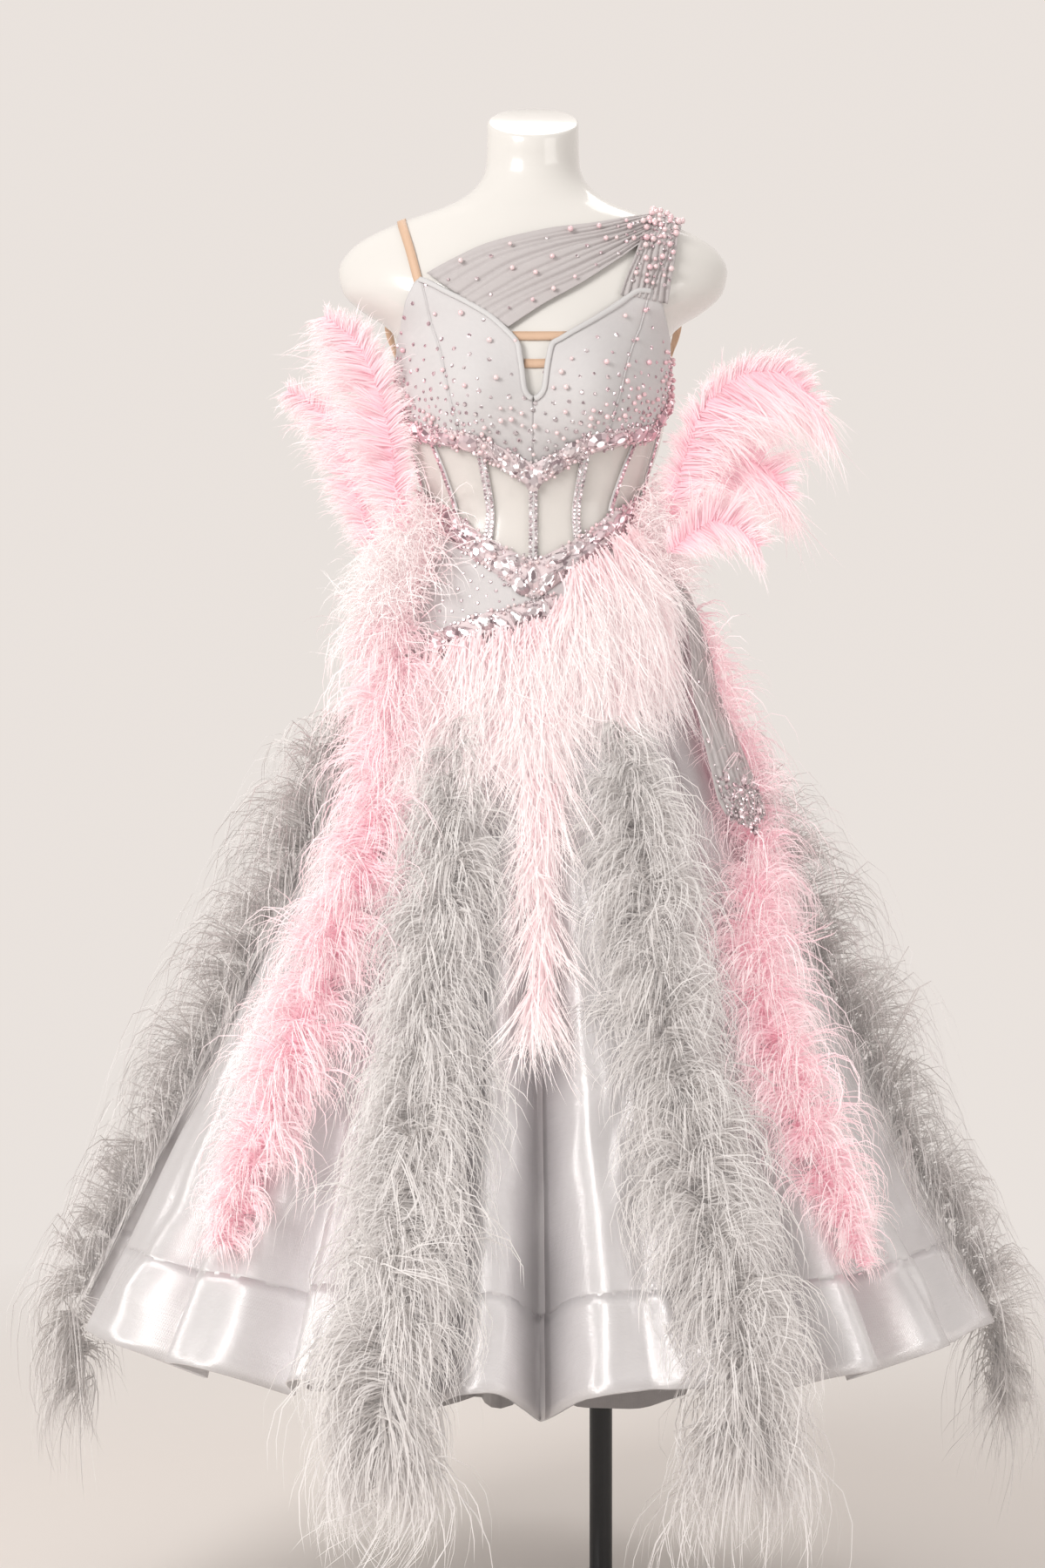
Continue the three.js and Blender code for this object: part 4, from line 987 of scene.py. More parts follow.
# Shallow pulls between the godets: angle, depth, width, the heights they run between.
CREASES = np.array([
    (-84, 0.0050, 1.6, 0.40, 0.80), (-70, -0.0060, 2.2, 0.36, 0.90), (-63, 0.0040, 1.3, 0.45, 0.70),
    (-46, -0.0070, 2.4, 0.36, 0.95), (-43, 0.0030, 1.0, 0.50, 0.74), (-27, 0.0060, 1.7, 0.36, 0.82),
    (-21, -0.0040, 1.4, 0.52, 0.90), (-5, 0.0050, 1.2, 0.36, 0.76), (8, -0.0060, 1.8, 0.36, 0.88),
    (14, 0.0050, 1.4, 0.44, 0.72), (21, -0.0050, 2.0, 0.36, 0.80), (27, 0.0030, 1.0, 0.48, 0.66),
    (41, -0.0060, 1.9, 0.36, 0.86), (58, 0.0050, 1.6, 0.40, 0.78), (75, -0.0060, 2.1, 0.36, 0.84),
    (93, 0.0050, 1.8, 0.42, 0.82), (99, -0.0040, 1.5, 0.50, 0.90), (116, -0.0060, 2.2, 0.36, 0.86),
    (121, 0.0040, 1.4, 0.46, 0.70), (138, 0.0060, 1.9, 0.38, 0.80), (143, -0.0040, 1.5, 0.52, 0.92),
    (160, -0.0060, 2.3, 0.36, 0.88), (166, 0.0040, 1.3, 0.44, 0.74), (181, 0.0050, 1.8, 0.40, 0.84),
    (190, -0.0060, 2.2, 0.36, 0.90), (208, 0.0050, 1.6, 0.44, 0.78), (229, -0.0060, 2.0, 0.36, 0.86),
    (236, 0.0040, 1.4, 0.48, 0.72), (252, 0.0060, 1.8, 0.38, 0.82), (268, -0.0050, 1.9, 0.36, 0.88),
])


def make_dents():
    """Small uneven dents above and on the hem: angle, height, widths, slant and depth of each."""
    roll = dice("dents")
    count = 190
    return np.stack([
        roll.uniform(-180, 180, count), HEM + 0.30 * roll.random(count) ** 1.5,
        roll.uniform(1.0, 3.2, count), roll.uniform(0.014, 0.060, count), roll.uniform(-70, 70, count),
        roll.uniform(-0.0100, 0.0075, count),
    ], -1)


DENTS = make_dents()


def valley(at, z):
    """How deep the valleys between the godets are."""
    share = down_skirt(z)
    return share**1.2 * sum(deep * hump(signed(at - where), wide) for where, deep, wide in VALLEYS)


def skirt(at, z):
    """The skirt's cloth, which sinks from its envelope into the valleys between the godets."""
    at, z = grids(at, z)
    share = down_skirt(z)
    sink = valley(at, z)
    pull = sum(
        deep * hump(signed(at - where), wide) * np.clip((z - low) / 0.08 + 1, 0, 1)
        * np.clip((high - z) / 0.25, 0, 1)
        for where, deep, wide, low, high in CREASES
    )
    for where, height, wide, tall, slant, deep in DENTS:
        turn = signed(at - where - slant * (z - height))
        pull = pull + deep * hump(turn, wide) * hump(z - height, tall)
    point = flare(at, z)
    mid = SKIRT_LEAN * (1 - share)
    radius = np.hypot(point[..., 0], point[..., 1] - mid)
    keep = 1 - (sink + pull) / radius
    drop = VALLEY_DROP * sink * share
    return np.stack([point[..., 0] * keep, mid + (point[..., 1] - mid) * keep, z - drop], -1)


def make_skirt():
    for name, (start, end) in QUARTERS.items():
        def place(u, v, start=start, end=end):
            return lifted(skirt, mix(start, end, u), mix(HEM_BAND_TOP, SKIRT_TOP, v**1.35), 0.0014)

        def band(u, v, start=start, end=end):
            at = mix(start, end, u)
            seam = hump(v - 1, 0.12) * -0.0008 + hump(v, 0.06) * 0.0008
            pucker = 0.0006 * np.sin(at * 3.1 + 2 * np.sin(at * 0.7)) * v
            return lifted(skirt, at, mix(HEM, HEM_BAND_TOP + 0.002, v), 0.0023 + seam + pucker)
        panel_piece = cloth(
            f"satin_panel_{name}", place, 110, 36, "satin", "satin", [f"skirt_{name}"], size=(0.75, 0.66),
        )
        band_piece = cloth(
            f"satin_hem_{name}", band, 120, 8, "satin", "satin", [f"hem_{name}"], wall=0.0022,
            size=(0.95, 0.092),
        )


def make_petticoat():
    """The organza underskirt, whose ruffled edge shows below the hem at the front."""
    # Height, and the radii at the side, the front and the back.
    table = np.array([
        (0.318, 0.336, 0.336, 0.330), (0.700, 0.238, 0.205, 0.208), (0.940, 0.180, 0.122, 0.130),
        (1.024, 0.1743, 0.1074, 0.1174),
    ])

    def ruffled(at, z):
        at, z = grids(at, z)
        turn = np.radians(at)
        share = np.clip((1.024 - z) / 0.706, 0, 1)
        wave = 0.010 * np.cos(12 * turn) + 0.006 * np.cos(19 * turn + 1) + 0.004 * np.cos(31 * turn + 2.4)
        swell = 1 + wave * share**2 / 0.336
        depth = np.where(np.cos(turn) >= 0, read(table, z, 2), read(table, z, 3))
        swell = swell - valley(at, z) / np.hypot(read(table, z, 1) * np.sin(turn), depth * np.cos(turn))
        dip = 0.004 * np.cos(12 * turn) * share**3
        x = read(table, z, 1) * np.sin(turn) * swell
        y = SKIRT_LEAN * (1 - share) - depth * np.cos(turn) * swell
        return np.stack([x, y, z + dip], -1)
    piece = cloth(
        "organza_petticoat", lambda u, v: ruffled(u * 360, mix(0.318, 1.02, v)), 200, 16, "organza",
        "organza",
        ["petticoat"], wall=0.0008, wrap=True, size=(2.1, 0.72),
    )


def make_float():
    """The pleated panel that hangs free at the right hip, pointed and beaded at its foot."""
    # Height, middle angle, half width in degrees, and how far it stands off.
    table = np.array([
        (0.868, 57.0, 7.5, 0.038), (0.900, 59.0, 10.5, 0.037), (1.016, 65, 9.0, 0.031),
        (1.165, 75.5, 4.6, 0.014),
    ])
    pleats = [(0.12, 1.0), (0.26, 1.3), (0.37, 0.8), (0.50, 1.4), (0.61, 0.9), (0.76, 1.2), (0.88, 1.0)]

    def place(u, v):
        z = mix(0.878, 1.165, v)
        at = read(table, z, 1) + (2 * u - 1) * read(table, z, 2)
        point = 0.018 * (1 - np.abs(2 * u - 1)) * np.clip(1 - v * 8, 0, 1)
        fold = sum(0.0026 * deep * hump(u - where, 0.035) for where, deep in pleats)
        return outside(at, z - point, read(table, z, 3) + 0.003 - fold * (1 - 0.3 * v))
    piece = cloth(
        "hip_float", place, 70, 40, "chiffon", "chiffon", ["float_hip"], wall=0.0008, size=(0.06, 0.31),
    )
    return place


# ------------------------------------------------------------------ feathers

# Heights, and how far the feathers may stand off the dress there.
FARTHEST = ((0.45, 0.75), (0.084, 0.150))


def clear_of_dress(points, gap):
    """Pushes points out of the skirt and the hips, so that no barb runs through the cloth."""
    x, y, z = points[..., 0], points[..., 1], points[..., 2]
    above = z > SKIRT_TOP
    side = np.where(above, read(FORM, z, HALF) + YOKE_COVER, flare_radius(FLARE_SIDE, z))
    front = np.where(above, read(FORM, z, FRONT) + YOKE_COVER, flare_radius(FLARE_FRONT, z))
    back = np.where(above, read(FORM, z, BACK) + YOKE_COVER, flare_radius(FLARE_BACK, z))
    depth = np.where(y < 0, front, back)
    reach = np.hypot(x / side, y / depth)
    wanted = 1 + gap / np.minimum(side, depth)
    push = np.where((reach < wanted) & (z > HEM - 0.004), wanted / np.maximum(reach, 0.3), 1)
    size = np.hypot(x, y) / np.maximum(reach, 1e-6)
    beyond = np.clip(reach * push - 1, 0, None) * size
    limit = np.interp(z, *FARTHEST)
    held = limit * np.tanh(beyond / limit)
    push = push * np.where(beyond > 0, (size + held) / (size + beyond), 1)
    return np.stack([x * push, y * push, z], -1)


def grow(roots, ways, lengths, droop, curl_axes, curls, segments, gap=0.004, clear=True):
    """The points of each barb, stepped out from its root as it droops and curls."""
    points = [roots]
    way = unit(ways)
    step = (lengths / segments)[:, None]
    for k in range(segments):
        share = k / (segments - 1)
        bend = share * share
        way = unit(
            way + DOWN * (droop * bend)[:, None] + np.cross(curl_axes, way) * (curls * share)[:, None]
        )
        points.append(points[-1] + way * step)
    points = np.stack(points, 1)
    return clear_of_dress(points, gap) if clear else points


def barbs(name, points, widths, facing, lock, material, nodes):
    """Flat tapering barbs along rows of points, joined as one mesh."""
    count, rows = points.shape[:2]
    along = unit(np.gradient(points, axis=1))
    side = unit(np.cross(along, facing[:, None, :]))
    share = np.linspace(0, 1, rows)
    taper = (1 - share) ** 0.8 * 0.85 + 0.15
    half = side * (widths[:, None] * taper[None, :] / 2)[..., None]
    pairs = np.stack([points - half, points + half], 2).reshape(count, rows * 2, 3)
    corners = rows * 2 - 1
    vertices = np.concatenate([pairs[:, : corners - 1], points[:, -1:]], 1).reshape(-1, 3)
    ladder = np.array([[k, k + 1, k + 2] if k % 2 == 0 else [k + 1, k, k + 2] for k in range(corners - 2)])
    faces = (ladder[None] + (np.arange(count) * corners)[:, None, None]).reshape(-1, 3)
    tone = np.broadcast_to(np.append(np.repeat(share[:-1], 2), 1.0), (count, corners))
    lock = np.broadcast_to(lock[:, None], (count, corners))
    mesh = joined(name, vertices, faces, {"along": ("POINT", tone), "lock": ("POINT", lock)})
    return finish_piece(mesh, name, material, nodes)


def scattered(dice_roll, count, spread):
    return dice_roll.normal(0, spread, (count, 3))


# Colour, the height and angle of places along the cord, and number of barbs.
BOAS = {
    "boa_grey_far_left": (
        "grey", [(0.995, -84), (0.900, -88), (0.640, -90), (0.362, -90), (0.270, -90)], 4500,
    ),
    "boa_pink_left": (
        "pink", [(1.120, -64), (1.030, -52), (0.830, -41), (0.640, -43), (0.470, -43.5)], 7300,
    ),
    "boa_grey_left": (
        "grey", [(0.978, -25), (0.830, -19), (0.640, -17.5), (0.362, -16), (0.290, -15.5)], 8300,
    ),
    "boa_grey_right": (
        "grey", [(0.978, 27), (0.830, 25), (0.640, 22.5), (0.362, 23.5), (0.290, 23.5)], 8300,
    ),
    "boa_pink_right": (
        "pink",
        [(1.100, 90), (1.000, 84), (0.896, 75), (0.830, 61), (0.749, 48), (0.640, 44.5), (0.450, 45)],
        7300,
    ),
    "boa_grey_far_right": ("grey", [(0.960, 95), (0.640, 87), (0.362, 83), (0.270, 82)], 4300),
    "boa_pink_back_left": ("pink", [(1.090, -140), (0.470, -138)], 2100),
    "boa_pink_back_right": ("pink", [(1.090, 138), (0.470, 136)], 2100),
    "boa_grey_back": ("grey", [(0.978, 178), (0.362, 178), (0.290, 178)], 2300),
}
# Barbs in one lock.
LOCK_SIZE = 13
FRINGE_LOCK_SIZE = 11
# Heights, and how full each kind of boa is there.
BOA_FULLNESS = {
    "grey": ((0.34, 0.64, 0.92), (1.08, 0.90, 0.78)),
    "far": ((0.34, 0.64, 0.92), (1.15, 1.45, 1.45)),
    "pink": ((0.45, 0.70, 1.05), (0.88, 1.12, 1.12)),
}


def make_boa(name, colour, path, count):
    """A feather boa: locks of barbs all round a cord that is sewn down the skirt."""
    roll = dice(name)
    table = np.array(path, float)[::-1]
    locks = count // LOCK_SIZE
    z = mix(table[0, 0], table[-1, 0], (np.arange(locks) + roll.random(locks)) / locks)
    at = read(table, z)
    spine = outside(at, z, 0.012)
    lower = outside(read(table, z - 0.01), z - 0.01, 0.012)
    normal = unit(outside(at, z, 0.022) - spine)
    down = unit(lower - spine)
    side = unit(np.cross(down, normal))
    pink = colour == "pink"
    lean = np.radians(roll.choice([-1, 1], locks) * (2 + 108 * roll.random(locks) ** 0.75))
    way = (
        np.cos(lean)[:, None] * normal + np.sin(lean)[:, None] * side - 0.05 * down
        + scattered(roll, locks, 0.22)
    )
    tail = z < HEM + 0.02
    way = np.where(tail[:, None], way + 0.5 * DOWN, way)
    length = roll.uniform(0.052, 0.088, locks) if pink else roll.uniform(0.068, 0.112, locks)
    fullness = np.interp(z, *BOA_FULLNESS["far" if "far" in name else colour])
    wispy = roll.random(locks) < 0.36
    taper = 0.04 if pink else 0.09
    ends = np.minimum(table[-1, 0] - z, taper) / taper
    foot = np.clip((z - table[0, 0]) / 0.10, 0, 1) if pink else 1
    length = np.where(wispy, length * 1.5, length) * (0.5 + 0.5 * ends) * (0.55 + 0.45 * foot) * fullness
    axis = unit(np.cross(way, DOWN) + scattered(roll, locks, 0.5))
    curl = np.where(wispy, roll.uniform(0.2, 1.3, locks), roll.uniform(-0.2, 0.55, locks))

    def each(values):
        return np.repeat(values, LOCK_SIZE, axis=0)
    total = locks * LOCK_SIZE
    roots = each(spine + scattered(roll, locks, 0.006)) + scattered(roll, total, 0.0030)
    ways = each(unit(way)) + scattered(roll, total, 0.17)
    lengths = each(length) * roll.uniform(0.5, 1.1, total)
    droop = (
        each(roll.uniform(0.5, 1.3, locks) if pink else roll.uniform(0.8, 1.9, locks))
        * roll.uniform(0.85, 1.15, total)
    )
    points = grow(roots, ways, lengths, droop, each(axis), each(curl), 6)
    facing = unit(each(normal) + scattered(roll, total, 0.45))
    pale = np.clip((each(z) - 0.95) / 0.12, 0, 1) * 0.8 if pink else 0
    lock = np.clip(each(roll.random(locks)) * 0.7 + roll.random(total) * 0.3 + pale, 0, 1)
    widths = roll.uniform(0.0010, 0.0019, total) * np.where(each(wispy), 1.2, 1)
    barbs(f"{name}_feathers", points, widths, facing, lock, colour, [name])


def make_fringe():
    """Fine straight ostrich fringe over the front of the hips, with one long tongue."""
    roll = dice("fringe")
    locks = 840
    tongue = roll.random(locks) < 0.19
    strand = roll.choice([-1.6, 2.6], locks, p=[0.62, 0.38])
    at = np.where(tongue, 1 + strand + roll.normal(0, 1.3, locks), roll.uniform(-41, 54, locks))
    depth = np.where(
        tongue, 0.40 * roll.uniform(0, 1, locks) ** 1.25,
        roll.uniform(0, 1, locks) ** 1.2 * (0.115 + 0.03 * (at > 25)),
    )
    top = read(FRINGE_TOP, at) + 0.004
    z = top - depth
    at = np.where(tongue, 1 + (at - 1) * np.clip(1.5 - depth * 3.1, 0.25, 1.2), at)
    lift = roll.uniform(0.0085, 0.017, locks)
    spine = outside(at, z, lift)
    down = unit(outside(at, z - 0.02, lift) - spine)
    normal = unit(outside(at, z, lift + 0.01) - spine)
    side = np.cross(down, normal)
    way = (
        down + normal * roll.uniform(0.0, 0.35, locks)[:, None] + side
        * roll.normal(0, 0.25, locks)[:, None]
    )
    length = np.where(tongue, roll.uniform(0.075, 0.13, locks), roll.uniform(0.070, 0.130, locks))
    axis = unit(scattered(roll, locks, 1.0))
    curl = roll.uniform(0, 0.65, locks)

    def each(values):
        return np.repeat(values, FRINGE_LOCK_SIZE, axis=0)
    total = locks * FRINGE_LOCK_SIZE
    roots = each(spine) + scattered(roll, total, 0.0040)
    ways = each(way) + scattered(roll, total, 0.13)
    lengths = each(length) * roll.uniform(0.6, 1.1, total)
    points = grow(roots, ways, lengths, np.full(total, 0.35), each(axis), each(curl), 5)
    facing = unit(each(normal) + scattered(roll, total, 0.35))
    lock = np.clip(each(roll.random(locks) - 0.5 * tongue) * 0.6 + roll.random(total) * 0.4, 0, 1)
    barbs(
        "fringe_feathers", points, roll.uniform(0.0010, 0.0019, total), facing, lock, "blush",
        ["fringe_front"],
    )


# Middle angle and height, their spreads, number of barbs and their reach.
TUFTS = {
    "tuft_left": (-62, 1.140, 17, 0.036, 2100, 0.088),
    "tuft_right": (72, 1.185, 12, 0.026, 1500, 0.060),
}


def make_tuft(name, middle_at, middle_z, spread_at, spread_z, count, reach):
    """A burst of barbs on the hip, where the plumes are sewn on."""
    roll = dice(name)
    at = roll.normal(middle_at, spread_at * 0.5, count)
    z = roll.normal(middle_z, spread_z, count)
    roots = worn(at, z, 0.012)
    normal = unit(worn(at, z, 0.02) - roots)
    ways = normal + scattered(roll, count, 0.55) + np.array([0, 0, 0.10])
    lengths = reach * roll.uniform(0.35, 1.15, count)
    points = grow(roots, ways, lengths, roll.uniform(0.2, 0.9, count), unit(scattered(roll, count, 1)),
                  roll.uniform(0.2, 0.9, count), 6)
    facing = unit(normal + scattered(roll, count, 0.5))
    barbs(
        f"{name}_feathers", points, roll.uniform(0.0011, 0.0019, count), facing, roll.random(count),
        "blush", [name],
    )


PLUME_BARBS_PER_METRE = 4200
# Each plume's y, and rows along it: the quill's x and height, the barbs' reach to the left and right,
# and their turn in degrees.
PLUMES = {
    "plume_left_tall": (-0.060, [
        (-0.128, 1.180, 0.020, 0.012, 14), (-0.146, 1.240, 0.044, 0.022, 12),
        (-0.152, 1.288, 0.056, 0.026, 10),
        (-0.166, 1.346, 0.058, 0.028, 18), (-0.187, 1.394, 0.046, 0.024, 30),
        (-0.220, 1.424, 0.018, 0.012, 50),
    ]),
    "plume_left_low": (-0.020, [
        (-0.160, 1.165, 0.020, 0.012, 10), (-0.190, 1.234, 0.030, 0.020, 10),
        (-0.205, 1.293, 0.036, 0.025, 20),
        (-0.230, 1.329, 0.030, 0.022, 40), (-0.264, 1.350, 0.012, 0.010, 60),
    ]),
    "plume_right_tall": (-0.045, [
        (0.142, 1.190, 0.012, 0.022, -5), (0.156, 1.252, 0.018, 0.040, -20),
        (0.169, 1.295, 0.022, 0.058, -38),
        (0.185, 1.331, 0.022, 0.072, -55), (0.212, 1.357, 0.020, 0.084, -68),
        (0.238, 1.368, 0.022, 0.086, -78),
        (0.277, 1.361, 0.026, 0.072, -84), (0.307, 1.324, 0.015, 0.040, -70),
    ]),
    "plume_right_middle": (-0.015, [
        (0.148, 1.186, 0.014, 0.030, -35), (0.180, 1.248, 0.034, 0.058, -55),
        (0.217, 1.276, 0.040, 0.076, -72),
        (0.254, 1.267, 0.034, 0.060, -85), (0.276, 1.236, 0.014, 0.025, -95),
    ]),
    "plume_right_low": (-0.078, [
        (0.146, 1.172, 0.020, 0.016, -50), (0.182, 1.201, 0.036, 0.036, -65),
        (0.212, 1.200, 0.036, 0.040, -80),
        (0.238, 1.178, 0.014, 0.020, -95),
    ]),
}


def make_plume(name, y, rows):
    """An ostrich plume: a quill with two close vanes of soft barbs that droop at their ends."""
    roll = dice(name)
    table = np.array(rows, float)
    quill = smooth_route(np.stack([table[:, 0], np.full(len(table), y), table[:, 1]], -1))
    steps = np.linalg.norm(np.diff(table[:, :2], axis=0), axis=1)
    length = float(steps.sum())
    shares = np.concatenate([[0], np.cumsum(steps)]) / length
    per_side = int(length * PLUME_BARBS_PER_METRE)
    parts = []
    for sign, column in ((-1, 2), (1, 3)):
        share = np.sort(roll.random(per_side)) ** 0.92
        roots = quill(share)
        tip_ward = unit(quill(np.minimum(share + 0.02, 1)) - quill(np.maximum(share - 0.02, 0)))
        turn = np.radians(np.interp(share, shares, table[:, 4]))
        across = np.stack([np.cos(turn), np.zeros_like(turn), np.sin(turn)], -1) * sign
        clumps = np.floor(share * length / 0.005).astype(int)
        swing = roll.normal(0, 0.16, (clumps.max() + 1, 3))[clumps] * np.array([0.8, 1.6, 0.8])
        vary = roll.uniform(0.82, 1.18, clumps.max() + 1)[clumps]
        ways = (
            across + tip_ward * (0.45 + 0.6 * share**2)[:, None] + swing + scattered(roll, per_side, 0.07)
        )
        stray = np.where(roll.random(per_side) < 0.08, 1.5, 1)
        lengths = (
            np.interp(share, shares, table[:, column]) * 1.22 * vary * stray
            * roll.uniform(0.7, 1.15, per_side)
        )
        parts.append(
            (
                roots + scattered(roll, per_side, 0.0012), ways, lengths, share,
                roll.random(clumps.max() + 1)[clumps],
            )
        )
    roots, ways, lengths, share, clump = (np.concatenate(values) for values in zip(*parts))
    total = len(roots)
    lock = np.clip(clump * 0.6 + roll.random(total) * 0.4, 0, 1) * np.clip(0.35 + share, 0, 1)
    axis = np.broadcast_to([0.0, 1.0, 0.0], (total, 3))
    droop = roll.uniform(0.25, 0.6, total)
    points = grow(roots, ways, lengths, droop, axis, roll.normal(0, 0.12, total), 5, clear=False)
    facing = unit(np.array([0.0, -1.0, 0.0]) + scattered(roll, total, 0.35))
    barbs(
        f"{name}_vanes", points, roll.uniform(0.0010, 0.0018, total), facing, lock, "pink",
        [name],
    )
    make_cord(f"{name}_quill", quill(np.linspace(0, 0.97, 30)), 0.0009, "quill")


# ------------------------------------------------------------------ stones and pearls

def template(kind):
    """One small closed shape, its vertices and triangles, about 1 across and standing on z = 0."""
    form = bmesh.new()
    if kind == "pearl":
        bmesh.ops.create_icosphere(form, subdivisions=1, radius=0.5)
        bmesh.ops.translate(form, verts=form.verts, vec=(0, 0, 0.4))
    else:
        sides = {"chaton": 6, "oval": 10, "navette": 10, "pear": 10}[kind]
        bmesh.ops.create_cone(form, cap_ends=True, segments=sides, radius1=0.5, radius2=0.3, depth=0.26)
        bmesh.ops.translate(form, verts=form.verts, vec=(0, 0, 0.13))
        table = [face for face in form.faces if face.normal.z > 0.9]
        if kind != "chaton":
            bmesh.ops.inset_region(form, faces=table, thickness=0.12, depth=0.03)
        for vert in form.verts:
            if kind == "oval":
                vert.co.y *= 1.35
            if kind == "navette":
                vert.co.y *= 1.9
                vert.co.x *= 1 - 0.55 * abs(vert.co.y)
            if kind == "pear":
                vert.co.y = vert.co.y * 1.5
                vert.co.x *= 0.75 - 0.6 * vert.co.y
    bmesh.ops.triangulate(form, faces=form.faces)
    form.verts.ensure_lookup_table()
    vertices = np.array([vert.co[:] for vert in form.verts])
    faces = np.array([[vert.index for vert in face.verts] for face in form.faces])
    form.normal_update()
    normals = np.round(np.array([face.normal[:] for face in form.faces]), 2)
    _, facets = np.unique(normals, axis=0, return_inverse=True)
    form.free()
    return vertices, faces, facets.ravel()


FULL_TURN = 6.28
CRYSTAL_GROWTH = 1.25


class Stones:
    """Gathers stones by shape, and joins each shape into one mesh."""

    def __init__(self):
        self.kinds = {}

    def add(self, kind, places, normals, sizes, tints, turns):
        self.kinds.setdefault(kind, []).append((places, unit(normals), sizes, tints, turns))

    def add_mixed(self, roll, pearl, places, normals, sizes, tints):
        """Pearls where the mask says so and chatons elsewhere, each turned its own way."""
        for kind, chosen in (("pearl", pearl), ("chaton", ~pearl)):
            turns = roll.uniform(0, FULL_TURN, chosen.sum())
            self.add(kind, places[chosen], normals[chosen], sizes[chosen], tints[chosen], turns)

    def finish(self, name):
        for kind, groups in self.kinds.items():
            places, normals, sizes, tints, turns = (np.concatenate(values) for values in zip(*groups))
            shape, faces, facets = template(kind)
            helper = np.where(np.abs(normals[:, 2:3]) > 0.9, [[0, 1, 0]], [[0, 0, 1]])
            east = unit(np.cross(helper, normals))
            north = np.cross(normals, east)
            x_axis = np.cos(turns)[:, None] * east + np.sin(turns)[:, None] * north
            y_axis = np.cross(normals, x_axis)
            spots = (
                shape[None, :, 0:1] * x_axis[:, None] + shape[None, :, 1:2] * y_axis[:, None]
                + shape[None, :, 2:3] * normals[:, None]
            )
            vertices = (places[:, None] + spots * sizes[:, None, None]).reshape(-1, 3)
            count, corners = len(places), len(shape)
            all_faces = (faces[None] + (np.arange(count) * corners)[:, None, None]).reshape(-1, 3)
            roll = dice(name + kind)
            # Painted shade and reflection: each facet of a cut stone gets a darkness of its own; pearls get
            # none.
            shade = (
                roll.random((count, facets.max() + 1)) ** 1.5 * (0.92 if kind != "pearl" else 0.0)
            )[:, facets]
            tint = np.repeat(tints, len(faces))
            mesh = joined(
                f"{name}_{kind}s", vertices, all_faces, {"facet": ("FACE", shade), "tint": ("FACE", tint)},
            )
            pearl = kind == "pearl"
            finish_piece(mesh, f"{name}_{kind}s", "pearls" if pearl else "stones", smooth=pearl)


def spread(candidates, gaps, limit):
    """Keeps candidate places that stay clear of those kept before, by each one's own gap."""
    kept = []
    for index, place in enumerate(candidates):
        if len(kept) >= limit:
            break
        near = candidates[kept] if kept else np.zeros((0, 3))
        if not len(near) or np.min(np.linalg.norm(near - place, axis=1)) > gaps[index]:
            kept.append(index)
    return np.array(kept, int)


def mixed_sizes(roll, pearl, pearls, stones):
    """A size for each place, from the pearls' sizes or the stones'."""
    return np.where(pearl, roll.choice(pearls, len(pearl)), roll.choice(stones, len(pearl)))


def side_tint(at):
    """Stones turn from clear and smoky at the centre front to rose at the sides."""
    return np.clip(0.12 + 0.88 * np.clip((np.abs(at) - 18) / 45, 0, 1), 0, 1)


def cup_stones(stones):
    """Stones and pearls thick at the underbust and sparse at the neckline."""
    for side in ("left", "right"):
        patches, _ = cup_patches(side)
        for part, blend in patches.items():
            roll = dice("cups" + side + part)
            u, v = roll.random(5200), roll.random(5200) ** 1.6
            where = blend(u, v)
            at, z = where[:, 0], where[:, 1]
            height = (z - underbust(at)) / 0.16
            side_edge = np.clip((np.abs(at) - 62) / 26, 0, 1)
            gap = (0.0052 + 0.024 * np.clip(height, 0, 1) ** 1.4) * (1 - 0.55 * side_edge)
            places = worn(at, z, 0.0060)
            keep = spread(places, gap, 700)
            keep = keep[(v[keep] < 0.965)]
            normals = worn(at[keep], z[keep], 0.008) - places[keep]
            pearl = roll.random(len(keep)) < 0.24
            tint = np.clip(side_tint(at[keep]) * 0.85 + roll.normal(0, 0.12, len(keep)), 0, 1)
            size = mixed_sizes(roll, pearl, [0.0046, 0.0056, 0.0066], [0.0038, 0.0046, 0.0054])
            stones.add_mixed(roll, pearl, places[keep], normals, size, tint)


def band_stones(stones, name, low, high, start, end, out, count, big):
    """A close band of small stones and pearls round large crystals set one by one."""
    roll = dice(name)
    large = np.array([row[:4] for row in big], float)
    kinds = [row[4] for row in big]
    at, z = large[:, 0], mix(low(large[:, 0]), high(large[:, 0]), large[:, 1])
    places = worn(at, z, out)
    normals = worn(at, z, out + 0.002) - places
    for kind in sorted(set(kinds)):
        chosen = np.array([each == kind for each in kinds])
        stones.add(
            kind, places[chosen], normals[chosen], large[chosen, 2] * CRYSTAL_GROWTH,
            side_tint(at[chosen]), np.radians(large[chosen, 3]),
        )
    angle = roll.uniform(start, end, 6000)
    height = mix(low(angle), high(angle), roll.uniform(-0.06, 1.06, 6000))
    spots = worn(angle, height, out)
    clear = np.min(
        np.linalg.norm(spots[:, None] - places[None], axis=2) - large[None, :, 2] * 0.80, axis=1,
    ) > 0.0006
    angle, height, spots = angle[clear], height[clear], spots[clear]
    keep = spread(spots, np.full(len(spots), 0.0038), count)
    normals = worn(angle[keep], height[keep], out + 0.002) - spots[keep]
    pearl = roll.random(len(keep)) < 0.2
    size = mixed_sizes(roll, pearl, [0.0036, 0.0046], [0.0032, 0.0040, 0.0052])
    tint = np.clip(side_tint(angle[keep]) + roll.normal(0, 0.15, len(keep)), 0, 1)
    stones.add_mixed(roll, pearl, spots[keep], normals, size, tint)


